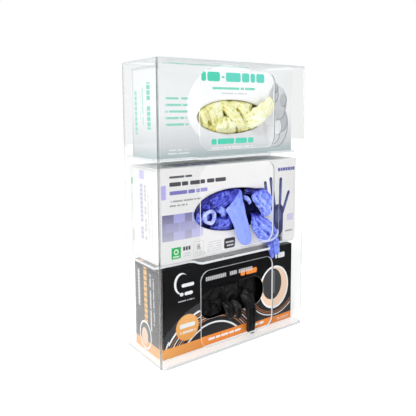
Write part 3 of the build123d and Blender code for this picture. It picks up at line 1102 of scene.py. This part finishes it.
# How the film creases: the share of a stretch that is let out in a round, and how strongly the
# film resists a sharp bend.
LET_OUT = 0.55
STIFFNESS = 0.22


def settle_film(bay, meshes, settings):
    """Lets the film buckle into creases: each edge wants to be a little longer than it is."""
    for mesh in meshes:
        count = len(mesh.vertices)
        start = np.empty(count * 3)
        mesh.vertices.foreach_get("co", start)
        start = start.reshape(count, 3)
        ends = np.empty(len(mesh.edges) * 2, dtype=np.int32)
        mesh.edges.foreach_get("vertices", ends)
        first, second = ends.reshape(-1, 2).T
        held, outside = np.empty(count), np.empty(count)
        mesh.attributes["held"].data.foreach_get("value", held)
        mesh.attributes["outside"].data.foreach_get("value", outside)
        near = np.maximum(np.bincount(ends, minlength=count), 1).reshape(count, 1)

        def gathered(at_first, at_second):
            """The sum over a vertex's edges of a value at each edge's first and second end."""
            sums = [np.bincount(first, at_first[:, axis], count)
                    + np.bincount(second, at_second[:, axis], count) for axis in range(3)]
            return np.stack(sums, 1)

        wanted = np.linalg.norm(start[second] - start[first], axis=1) * (1.0 + settings.slack)
        shift = np.zeros((count, 3))
        for _ in range(settings.rounds):
            place = start + shift
            gap = place[second] - place[first]
            size = np.maximum(np.linalg.norm(gap, axis=1), 1e-6)
            push = gap * ((wanted / size - 1.0) * 0.5).reshape(-1, 1)
            shift += gathered(-push, push) * LET_OUT / near * 2.0
            around = gathered(shift[second], shift[first]) / near
            shift += STIFFNESS * (around - shift)
            shift *= (1.0 - held).reshape(count, 1)
            far = np.linalg.norm(shift, axis=1).reshape(count, 1)
            shift *= np.minimum(settings.reach / np.maximum(far, 1e-9), 1.0)
        for vertex, moved, side in zip(mesh.vertices, start + shift, outside):
            vertex.co = keep_clear(bay, Vector(moved), side > 0.5)


# The film of each bay's gloves: its tone, its material's name, the colours of its slopes and of
# its depths, both painted shade, its roughness and its glow. The glove settings hold the colour of
# its ridges, where it is painted lit.
FILMS = {
    "upper": ("cream", "cream latex", (0.80, 0.75, 0.29), (0.50, 0.44, 0.07), 0.46, 0.15),
    "middle": ("blue", "blue nitrile", (0.07, 0.08, 0.66), (0.006, 0.006, 0.14), 0.40, 0.05),
    "lower": ("black", "black nitrile", (0.003, 0.003, 0.0035), (0.001, 0.001, 0.001), 0.44, 0.0),
}


def dress_bay(bay, builds, settings):
    """Lays and creases each loose glove of a bay in place of its plain node."""
    tone, name, *looks = FILMS[bay]
    material = glove_film(name, getattr(settings, tone), *looks)
    noise.seed_set(FILM_SEED)
    meshes = {}
    for part, build in builds.items():
        film = Film(bay)
        build(film)
        meshes[part] = film.mesh(f"{tone}_glove_{part}")
    settle_film(bay, meshes.values(), settings)
    for part, mesh in meshes.items():
        shade_folds(mesh, settings.contrast)
        for helper in ("held", "outside"):
            mesh.attributes.remove(mesh.attributes[helper])
        piece = new_piece(mesh.name, smooth(mesh), [f"{bay}_glove_{part}"], tone + "_glove",
                          material)
        wall = piece.modifiers.new("film", "SOLIDIFY")
        wall.thickness = settings.film
        wall.offset = -1.0


# In each build, tone sets painted light and shade: low for film in shade, above 1 for a painted
# highlight.
def upper_builds():
    """The cream gloves: what each is built of."""
    def left(film):
        film.add_pillow((-60, -30, -22, 23), 1.5, 2.8, 9, (-40, 60), 1.2, tone=0.35)
        film.add_pillow((-44, -12, -10, 25), 4.5, 1.4, 3, (-10, -30), 2.1, tone=0.6)
        film.add_tube([(-58, -4, 14, 4, 2), (-54, 3, 8, 4, 3), (-50, 4, -6, 4, 3),
                       (-46, 0, -19, 3, 2)], 0.5, 1.8, tone=0.65, tucked=True)
        film.add_tube([(-44, -4, 20, 5, 2), (-42, 4, 12, 5, 3), (-36, 5, 0, 5, 3),
                       (-32, 2, -12, 4, 2)], 0.6, 1.5, tone=0.7, tucked=True)

    def centre(film):
        film.add_pillow((-36, 12, -26, 2), 5.5, 3.0, 9, (-8, 8), 3.7, tone=0.6)
        film.add_tube([(-24, -5, 24, 6, 3), (-14, 3, 16, 8, 4), (2, 6, 0, 8, 4),
                       (16, 4, -16, 7, 3), (22, -5, -22, 6, 3)],
                      1.0, 4.2, tone=0.75, tucked=True)
        film.add_pillow((-8, 44, -8, 26), 4.0, 1.6, 4, (30, 30), 5.3, tone=0.55)
        film.add_pillow((6, 46, -25, -2), 1.5, 2.6, 9, (20, 10), 6.4, tone=0.4)
        film.add_tube([(-12, -3, -4, 4, 2), (-16, 6, -9, 5, 3), (-22, 6, -17, 5, 3),
                       (-26, 0, -23, 4, 2)], 0.6, 4.9, tone=0.8, tucked=True)
        film.add_tube([(-4, -3, -4, 4, 2), (-4, 6, -10, 5, 3), (-3, 6, -17, 5, 3),
                       (-2, 0, -24, 4, 2)], 0.6, 5.9, tone=0.8, tucked=True)
        film.add_tube([(10, -4, 20, 6, 2), (16, 4, 16, 8, 3), (24, 5, 4, 7, 3),
                       (26, 2, -8, 5, 2)], 0.8, 3.2, tone=0.75, tucked=True)

    def pulled(film):
        film.add_tube([(22, -4, -8, 7, 3), (30, 5, -5, 11, 5), (42, 8, 2, 12, 5.5),
                       (56, 9, 10, 12, 5), (69, 9, 19, 11, 4.5, 10)],
                      1.2, 7.7, 0.8, crease=1.5, tone=0.74)
        film.add_tube([(24, -4, -12, 6, 3), (32, 9, -9, 8, 4), (42, 13, -2, 9, 4),
                       (51, 13, 4, 8, 3.5)], 0.8, 8.3, crease=1.5, tone=0.8)

    return {"left": left, "centre": centre, "pulled": pulled}


def middle_builds():
    """The blue gloves: what each is built of."""
    def arched(film):
        film.add_pillow((-71, 10, -6, 35), 4.5, 1.6, 3, (44, 40), 1.5, crease=0.7, tone=0.26)
        film.add_tube([(-50, -5, 0, 5, 3), (-38, 4, 6, 6, 3), (-18, 7, 15, 6, 3),
                       (6, 6, 27, 4, 3)], 0.8, 2.6, crease=0.6, tone=0.42, tucked=True)
        film.add_tube([(-72, -4, 0, 4, 2.5), (-62, 2, 12, 4, 2.5), (-40, 2, 24, 4, 2.5),
                       (-12, -2, 31, 4, 2.5)], 0.5, 2.2, crease=0.6, tone=0.4, tucked=True)

    def rolled(film):
        ring = []
        for step in range(11):
            turn = math.radians(-130 + step * 42)
            wide = 8.4 + 0.9 * math.sin(step * 2.1)
            ring.append((-50 + wide * math.cos(turn), 8 + 2 * math.sin(step * 1.3),
                         -5 + 8.5 * math.sin(turn), 2.6 + 0.5 * math.cos(step * 1.7), 2.8))
        # The ring's tone above 1 paints a highlight on it.
        film.add_tube(ring, 0.5, 3.4, crease=0.8, tone=1.15)
        film.add_pillow((-59, -42, -12, 6), 3.5, 1.2, 5, (-52, 20), 2.9, crease=1.0, tone=0.55)
        # A pillow of negative tone: dark film painted as shade in the hole below the ring.
        film.add_pillow((-73, -36, -28, 6), -3.0, 2.0, 5, (-40, 10), 4.4, tone=-0.2)
        film.add_tube([(-64, -4, 10, 4, 3), (-66, 4, -4, 4, 3), (-63, 4, -17, 4, 3),
                       (-56, 0, -26, 3, 3)], 0.5, 3.9, tone=0.7, tucked=True)

    def folded(film):
        film.add_pillow((-42, 4, -34, -8), 2.0, 2.4, 5, (20, 20), 5.8, tone=0.35)
        film.add_tube([(-14, -5, -10, 5, 3), (-24, 6, -2, 6, 3), (-35, 9, 5, 4, 2.5)],
                      0.5, 6.1, 0.5, tone=0.85)
        film.add_tube([(-46, -4, -28, 4, 3), (-36, 4, -24, 6, 3), (-20, 6, -19, 6, 3),
                       (-8, 3, -11, 5, 3)], 0.8, 6.9, tone=0.5, tucked=True)

    def hanging(film):
        film.add_tube([(6, -6, 28, 2, 2), (5.5, 7, 27, 2, 2), (1, 10, 18, 6, 3),
                       (-3.5, 11, 9, 12.5, 3), (-6.5, 12, 2.5, 17.5, 3), (-3, 12, -6, 16, 3),
                       (4, 12, -22, 14, 3), (9, 12, -37, 13.5, 3), (13, 12, -49, 11, 3),
                       (15, 11.5, -55, 7, 3)],
                      0.4, 7.2, pleats=2, along=60, crease=0.3, tone=0.74, level=True)
        # A pillow of negative tone: the film behind the hanging cuff is painted as shade.
        film.add_pillow((-10, 54, -30, 33), -7.0, 3.0, 5, (10, 50), 8.8, tone=-0.4)
        film.add_tube([(17, -4, 16, 3, 2), (23, 5, 12, 3.5, 2.5), (28, 4, 5, 3, 2)],
                      0.4, 9.2, tone=1.0)

    def bunched(film):
        film.add_tube([(47, -5, 26, 10, 4), (47, 5, 22, 12, 5), (47, 8, 15, 18, 6),
                       (50, 10, 6, 18, 6.5), (54.5, 10, -3, 14.5, 6), (56, 9, -11, 10.5, 5),
                       (56, 6, -18, 6, 4)], 1.6, 9.1, crease=1.5, tone=0.72, level=True)
        film.add_tube([(22, -4, 24, 5, 3), (30, 3, 23, 5, 3), (42, 4, 26, 5, 3)],
                      0.8, 9.6, tone=0.3, tucked=True)

    def draped(film):
        film.add_tube([(44, -5, -12, 7, 4), (42, 4, -16, 9, 5), (46, 7, -24, 17, 6.5),
                       (51, 9, -34, 21, 7), (56, 9.5, -43, 20.5, 6.5), (57, 9, -50, 15, 5.5),
                       (56, 8, -56, 8, 4)], 1.8, 10.3, crease=1.5, tone=0.6, level=True)
        film.add_tube([(40, 8, -50, 1.5, 1.5), (50, 13, -54, 1.7, 1.7), (62, 15, -53, 1.7, 1.7),
                       (73, 14, -48, 1.7, 1.7), (78, 11, -40, 1.5, 1.5)], 0.0, 10.6,
                      around=10, crease=0.3, tone=0.95)
        film.add_tube([(50, 2, -30, 6, 4), (57, 6, -44, 8, 4), (63, 7, -58, 5, 3.5),
                       (67, 8, -72, 4.5, 3.2), (71, 8, -85, 4, 3)], 0.8, 11.9, tone=0.45)
        film.add_tube([(66, 6, -38, 6, 4), (72, 10, -52, 6, 4), (75, 11, -66, 5, 4),
                       (76, 11, -80, 4.5, 3.5)], 0.8, 12.7, tone=0.55)

    return {"arched": arched, "rolled": rolled, "folded": folded, "hanging": hanging,
            "bunched": bunched, "draped": draped}


def lower_builds():
    """The black gloves: what each is built of."""
    def left(film):
        film.add_pillow((-66, -14, -24, 24), 2.0, 3.2, 5, (-20, 40), 1.9, tone=0.4)

    def centre(film):
        film.add_pillow((-22, 14, -8, 25), 4.0, 3.0, 4, (-4, -30), 2.7, tone=0.5)

    def right(film):
        film.add_pillow((8, 54, -22, 24), -4.0, 3.0, 5, (30, 40), 3.3, tone=0.25)

    def drooping(film):
        film.add_tube([(-10, -5, -6, 9, 4), (-10, 5, -12, 9, 4), (-8, 6, -22, 7, 3.5),
                       (-10, 5, -31, 5, 3)], 0.8, 4.9, tone=0.8)
        film.add_tube([(0, -5, -8, 6, 4), (4, 6, -14, 6, 4), (7, 8, -24, 5, 3.5),
                       (5, 7, -33, 4, 3)], 0.6, 5.6, tone=0.9)

    def rolled(film):
        film.add_tube([(22, -6, 0, 9, 4), (27, 4, -8, 10, 4.5), (30, 8, -24, 9, 5),
                       (31, 8, -44, 8, 5), (29, 8, -62, 7, 4.5)], 1.4, 6.8, tone=0.6)

    return {"left": left, "centre": centre, "right": right, "drooping": drooping, "rolled": rolled}


# ---------------------------------------------------------------- packed gloves
# A packed layer: about how thick it is, in mm, the share of that which the film fills, its grid,
# how far it waves, in mm, and the grain of its waves and of its tone, to the metre.
LAYER_PITCH, LAYER_FILL = 2.3, 0.72
LAYER_GRID = {"Vertices X": 34, "Vertices Y": 2, "Vertices Z": 18}
LAYER_WAVE, WAVE_GRAIN, TONE_GRAIN = 3.4, 46.0, 120.0
# Each layer is trimmed to a random size between these shares of its carton's room.
LEAST_TRIM, MOST_TRIM = (0.93, 1.0, 0.90), (0.985, 1.0, 0.97)
FIRST_SEED = 3


def layers_tree():
    """Geometry nodes for gloves packed flat, one behind another, as they lie in a carton."""
    tree = bpy.data.node_groups.new("packed gloves", "GeometryNodeTree")
    ids = {}
    for name, kind in (("Width", "Float"), ("Height", "Float"), ("Pitch", "Float"),
                       ("Start", "Vector"), ("Layers", "Int"), ("Wave", "Float"), ("Seed", "Int"),
                       ("Film", "Material")):
        ids[name] = tree.interface.new_socket(name=name, in_out="INPUT",
                                              socket_type="NodeSocket" + kind).identifier
    tree.interface.new_socket(name="Geometry", in_out="OUTPUT", socket_type="NodeSocketGeometry")
    nodes = Nodes(tree)
    given = nodes.node("NodeGroupInput").outputs

    def add(kind, feeds, **values):
        """Adds a node and gives its first output."""
        return nodes.node(kind, feeds, **values).outputs[0]

    line = add("GeometryNodeMeshLine", {"Count": given["Layers"], "Start Location": given["Start"],
                                        "Offset": nodes.joined(0.0, given["Pitch"])})
    thick = nodes.math("MULTIPLY", given["Pitch"], LAYER_FILL)
    size = nodes.joined(given["Width"], thick, given["Height"])
    slab = add("GeometryNodeMeshCube", {"Size": size, **LAYER_GRID})
    trim = add("FunctionNodeRandomValue",
               {"Min": LEAST_TRIM, "Max": MOST_TRIM, "Seed": given["Seed"]},
               data_type="FLOAT_VECTOR")
    layers = add("GeometryNodeInstanceOnPoints", {"Points": line, "Instance": slab, "Scale": trim})
    layers = add("GeometryNodeRealizeInstances", {0: layers})
    wave = nodes.node("ShaderNodeTexNoise",
                      {"W": given["Seed"], "Scale": WAVE_GRAIN, "Detail": 3.0},
                      noise_dimensions="4D").outputs["Color"]
    reach = nodes.joined(given["Wave"], given["Wave"], given["Wave"])
    offset = nodes.vector("MULTIPLY", nodes.vector("SUBTRACT", wave, (0.5, 0.5, 0.5)), reach)
    layers = add("GeometryNodeSetPosition", {"Geometry": layers, "Offset": offset})
    layers = add("GeometryNodeSetShadeSmooth", {0: layers})
    layers = add("GeometryNodeSetMaterial", {"Geometry": layers, "Material": given["Film"]})
    nodes.node("NodeGroupOutput", {0: layers})
    return tree, ids


def pack_gloves(bay, tree, ids, seed):
    """The gloves still packed in a carton, as waving layers in place of the plain stack."""
    tone, name = FILMS[bay][:2]
    material = bpy.data.materials[name]
    low, high = (Vector(corner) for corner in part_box(bay + "_glove_stack"))
    size = high - low
    layers = round(size.y / (LAYER_PITCH * MM))
    pitch = size.y / layers
    start = Vector(((low.x + high.x) / 2, low.y + pitch / 2, (low.z + high.z) / 2))
    mesh = bpy.data.meshes.new(tone + "_gloves_packed")
    piece = bpy.data.objects.new(tone + "_gloves_packed", mesh)
    bpy.context.scene.collection.objects.link(piece)
    packed = piece.modifiers.new("packed", "NODES")
    packed.node_group = tree
    for name, value in (("Width", size.x), ("Height", size.z), ("Pitch", pitch), ("Start", start),
                        ("Layers", layers), ("Wave", LAYER_WAVE * MM), ("Seed", seed),
                        ("Film", material)):
        packed[ids[name]] = value
    bake(piece)
    for vertex in piece.data.vertices:
        vertex.co = [min(max(value, least), most)
                     for value, least, most in zip(vertex.co, low, high)]
    # A low tone with random variation: the packed film is painted in the deep colours of its
    # painted shade.
    shade = piece.data.attributes.new("tone", "FLOAT", "POINT")
    for number, vertex in enumerate(piece.data.vertices):
        shade.data[number].value = 0.12 + 0.25 * noise.noise(vertex.co * TONE_GRAIN)
    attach(piece, "root")
    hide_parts(bay + "_glove_stack")


# ---------------------------------------------------------------- operators
class FinishAcrylic(bpy.types.Operator):
    """Give the bent sheet and the four plates their clear finish"""
    bl_idname = "dispenser.finish_acrylic"
    bl_label = "Acrylic case"

    def execute(self, context):
        settings = context.scene.dispenser_acrylic
        bent = acrylic(settings, True)
        flat = acrylic(settings, False)
        for name in ("wrap_sheet", "base_plate", "top_plate", "lower_shelf", "upper_shelf"):
            node = bpy.data.objects[name]
            node.data.materials.clear()
            node.data.materials.append(bent if name == "wrap_sheet" else flat)
        return {"FINISHED"}


class FoldCartons(bpy.types.Operator):
    """Fold and print the three cartons"""
    bl_idname = "dispenser.fold_cartons"
    bl_label = "Cartons"

    def execute(self, context):
        settings = context.scene.dispenser_carton
        inside = bare_board("board, inside", (0.55, 0.53, 0.50))
        core = bare_board("board, cut edge", (0.85, 0.83, 0.80))
        prints = {"upper": upper_print, "middle": middle_print, "lower": lower_print}
        for bay in BAYS:
            fold_carton(bay, settings, prints[bay](), inside, core)
        return {"FINISHED"}


class DressUpperBay(bpy.types.Operator):
    """Put the cream gloves in the upper mouth"""
    bl_idname = "dispenser.dress_upper_bay"
    bl_label = "Cream gloves"

    def execute(self, context):
        dress_bay("upper", upper_builds(), context.scene.dispenser_glove)
        return {"FINISHED"}


class DressMiddleBay(bpy.types.Operator):
    """Put the blue gloves in the middle mouth"""
    bl_idname = "dispenser.dress_middle_bay"
    bl_label = "Blue gloves"

    def execute(self, context):
        dress_bay("middle", middle_builds(), context.scene.dispenser_glove)
        return {"FINISHED"}


class DressLowerBay(bpy.types.Operator):
    """Put the black gloves in the lower mouth"""
    bl_idname = "dispenser.dress_lower_bay"
    bl_label = "Black gloves"

    def execute(self, context):
        dress_bay("lower", lower_builds(), context.scene.dispenser_glove)
        return {"FINISHED"}


class PackGloves(bpy.types.Operator):
    """Pack the rest of the gloves in the three cartons"""
    bl_idname = "dispenser.pack_gloves"
    bl_label = "Packed gloves"

    def execute(self, context):
        tree, ids = layers_tree()
        for seed, bay in enumerate(BAYS, start=FIRST_SEED):
            pack_gloves(bay, tree, ids, seed)
        return {"FINISHED"}


class SetStage(bpy.types.Operator):
    """Set the floor, the lights and the camera"""
    bl_idname = "dispenser.set_stage"
    bl_label = "Stage"

    def execute(self, context):
        settings = context.scene.dispenser_stage
        set_floor(settings)
        set_lights(context.scene, settings)
        set_camera(context.scene, settings)
        return {"FINISHED"}


# How far the floor reaches each way, in metres.
FLOOR_REACH = 4.0
# The sun shines from here to the frame's origin, and is as wide as its diffuser, in degrees.
SUN_PLACE = (-0.70, -0.47, 0.62)
SUN_ANGLE = 18.0
# The softbox overhead: its place, aim and size in metres, and its power.
TOP_PLACE, TOP_TARGET = (0.1, 0.3, 1.6), (0.0, 0.0, 0.2)
TOP_SIZE, TOP_POWER = 1.2, 5.0
# The round diffuser, in metres: the front mirrors it left of the upper window.
GLARE_PLACE, GLARE_TARGET = (0.540, -0.754, 0.354), (-0.023, -0.0525, 0.348)
GLARE_SIZE = 0.26
# The camera's stand, from the case's lower left front corner in mm, and its turn in degrees.
CAMERA_STAND = (-323.3, -539.0, 343.5)
CAMERA_TURN = (36.03, -6.51, -0.30)
# Where the camera's axis meets its 416 by 416 picture, measured from the picture's middle.
PICTURE = 416.0
AXIS_OFFSET = (-3.6, -40.5)


def set_floor(settings):
    """A pale floor under the case, dark before it where a shiny face mirrors it."""
    bm = bmesh.new()
    bmesh.ops.create_grid(bm, x_segments=1, y_segments=1, size=FLOOR_REACH)
    mesh = bpy.data.meshes.new("floor")
    bm.to_mesh(mesh)
    bm.free()
    floor = bpy.data.objects.new("floor", mesh)
    bpy.context.scene.collection.objects.link(floor)
    pale = Sheet("pale floor")
    cloud = pale.grain(pale.own_place(), 3.0, 2.0)
    darker = tuple(channel * 0.97 for channel in settings.floor)
    before = pale.math("LESS_THAN", pale.split(pale.own_place())[1], CASE_LOW.y)
    mirrored = pale.mirrored(pale.node("ShaderNodeLightPath").outputs)
    pale.set(Base_Color=pale.mix(cloud, settings.floor, darker), Roughness=0.8)
    pale.set(Emission_Color=(1, 1, 1, 1), Emission_Strength=settings.light_table)
    dark = pale.node("ShaderNodeBsdfDiffuse", {0: (0.05, 0.05, 0.05, 1)}).outputs[0]
    shown = pale.mix_shaders(pale.both(mirrored, before), pale.shader.outputs[0], dark)
    pale.feed(pale.out.inputs[0], shown)
    mesh.materials.append(pale.material)


def aim(item, place, target):
    """Turns a lamp at a place towards a target."""
    turn = (target - place).to_track_quat("-Z", "Y").to_matrix()
    item.matrix_world = Matrix.Translation(place) @ turn.to_4x4()


def add_softbox(name, place, target, shape, size, power):
    """A square or round softbox that is seen only in reflections."""
    lamp = bpy.data.lights.new(name, "AREA")
    lamp.shape = shape
    lamp.size = size
    lamp.energy = power
    box = bpy.data.objects.new(name, lamp)
    box.visible_camera = False
    box.visible_transmission = False
    bpy.context.scene.collection.objects.link(box)
    aim(box, Vector(place), Vector(target))


def set_lights(scene, settings):
    """A white backdrop behind a darker room, a low sun through a large diffuser and softboxes."""
    world = bpy.data.worlds.new("studio")
    world.use_nodes = True
    nodes = Nodes(world.node_tree)
    sky = nodes.tree.nodes["Background"].inputs
    nodes.feed(sky[0], (1, 1, 1, 1))
    path = nodes.node("ShaderNodeLightPath").outputs
    direction = nodes.split(nodes.node("ShaderNodeTexCoord").outputs["Generated"])
    behind = nodes.math("MULTIPLY_ADD", direction[1], 1.6, 0.5, clamp=True)
    backdrop = nodes.math("MULTIPLY_ADD", behind, settings.backdrop - settings.room, settings.room)
    seen = nodes.math("MULTIPLY_ADD", path["Is Diffuse Ray"], settings.soft_sky - settings.sky,
                      settings.sky)
    change = nodes.both(nodes.mirrored(path), nodes.math("SUBTRACT", backdrop, seen))
    nodes.feed(sky[1], nodes.math("ADD", seen, change))
    scene.world = world
    scene.view_settings.view_transform = "Standard"
    lamp = bpy.data.lights.new("diffused sun", "SUN")
    lamp.energy = settings.sun
    lamp.angle = math.radians(SUN_ANGLE)
    sun = bpy.data.objects.new("diffused sun", lamp)
    scene.collection.objects.link(sun)
    aim(sun, Vector(SUN_PLACE), Vector())
    add_softbox("top softbox", TOP_PLACE, TOP_TARGET, "SQUARE", TOP_SIZE, TOP_POWER)
    add_softbox("round diffuser", GLARE_PLACE, GLARE_TARGET, "DISK", GLARE_SIZE, settings.glare)


def set_camera(scene, settings):
    """The camera, level but for a slight look down, with its picture moved to frame the case."""
    yaw, pitch, roll = (math.radians(angle) for angle in CAMERA_TURN)
    ahead = Vector((math.sin(yaw) * math.cos(pitch), math.cos(yaw) * math.cos(pitch),
                    math.sin(pitch)))
    right = Vector((math.cos(yaw), -math.sin(yaw), 0.0))
    up = right.cross(ahead)
    rolled = math.cos(roll) * right + math.sin(roll) * up
    upward = math.cos(roll) * up - math.sin(roll) * right
    data = bpy.data.cameras.new("camera")
    data.sensor_width = 36.0
    data.lens = settings.focal
    data.shift_x = -AXIS_OFFSET[0] / PICTURE
    data.shift_y = AXIS_OFFSET[1] / PICTURE
    camera = bpy.data.objects.new("camera", data)
    scene.collection.objects.link(camera)
    turn = Matrix((rolled, upward, -ahead)).transposed()
    camera.matrix_world = Matrix.Translation(at(*CAMERA_STAND)) @ turn.to_4x4()
    scene.camera = camera


class DispenserPanel(bpy.types.Panel):
    """Lists what the dispenser is made of"""
    bl_label = "Glove dispenser"
    bl_idname = "VIEW3D_PT_dispenser"
    bl_space_type = "VIEW_3D"
    bl_region_type = "UI"
    bl_category = "Dispenser"

    def draw(self, context):
        for name, group, owner in SETTINGS:
            self.layout.label(text=name)
            settings = getattr(context.scene, owner)
            for key in group.__annotations__:
                self.layout.prop(settings, key)
        for operator in OPERATORS:
            self.layout.operator(operator.bl_idname)


SETTINGS = (
    ("Acrylic", AcrylicSettings, "dispenser_acrylic"),
    ("Cartons", CartonSettings, "dispenser_carton"),
    ("Gloves", GloveSettings, "dispenser_glove"),
    ("Stage", StageSettings, "dispenser_stage"),
)
OPERATORS = (SetStage, FinishAcrylic, FoldCartons, DressUpperBay, DressMiddleBay, DressLowerBay,
             PackGloves)
CLASSES = (*(group for name, group, owner in SETTINGS), *OPERATORS, DispenserPanel)


def register():
    for item in CLASSES:
        bpy.utils.register_class(item)
    for name, group, owner in SETTINGS:
        setattr(bpy.types.Scene, owner, bpy.props.PointerProperty(type=group))


def unregister():
    for name, group, owner in SETTINGS:
        delattr(bpy.types.Scene, owner)
    for item in reversed(CLASSES):
        bpy.utils.unregister_class(item)


def main():
    """Makes every piece in order."""
    register()
    bpy.ops.dispenser.set_stage()
    bpy.ops.dispenser.finish_acrylic()
    bpy.ops.dispenser.fold_cartons()
    bpy.ops.dispenser.dress_upper_bay()
    bpy.ops.dispenser.dress_middle_bay()
    bpy.ops.dispenser.dress_lower_bay()
    bpy.ops.dispenser.pack_gloves()


if __name__ == "__main__":
    main()
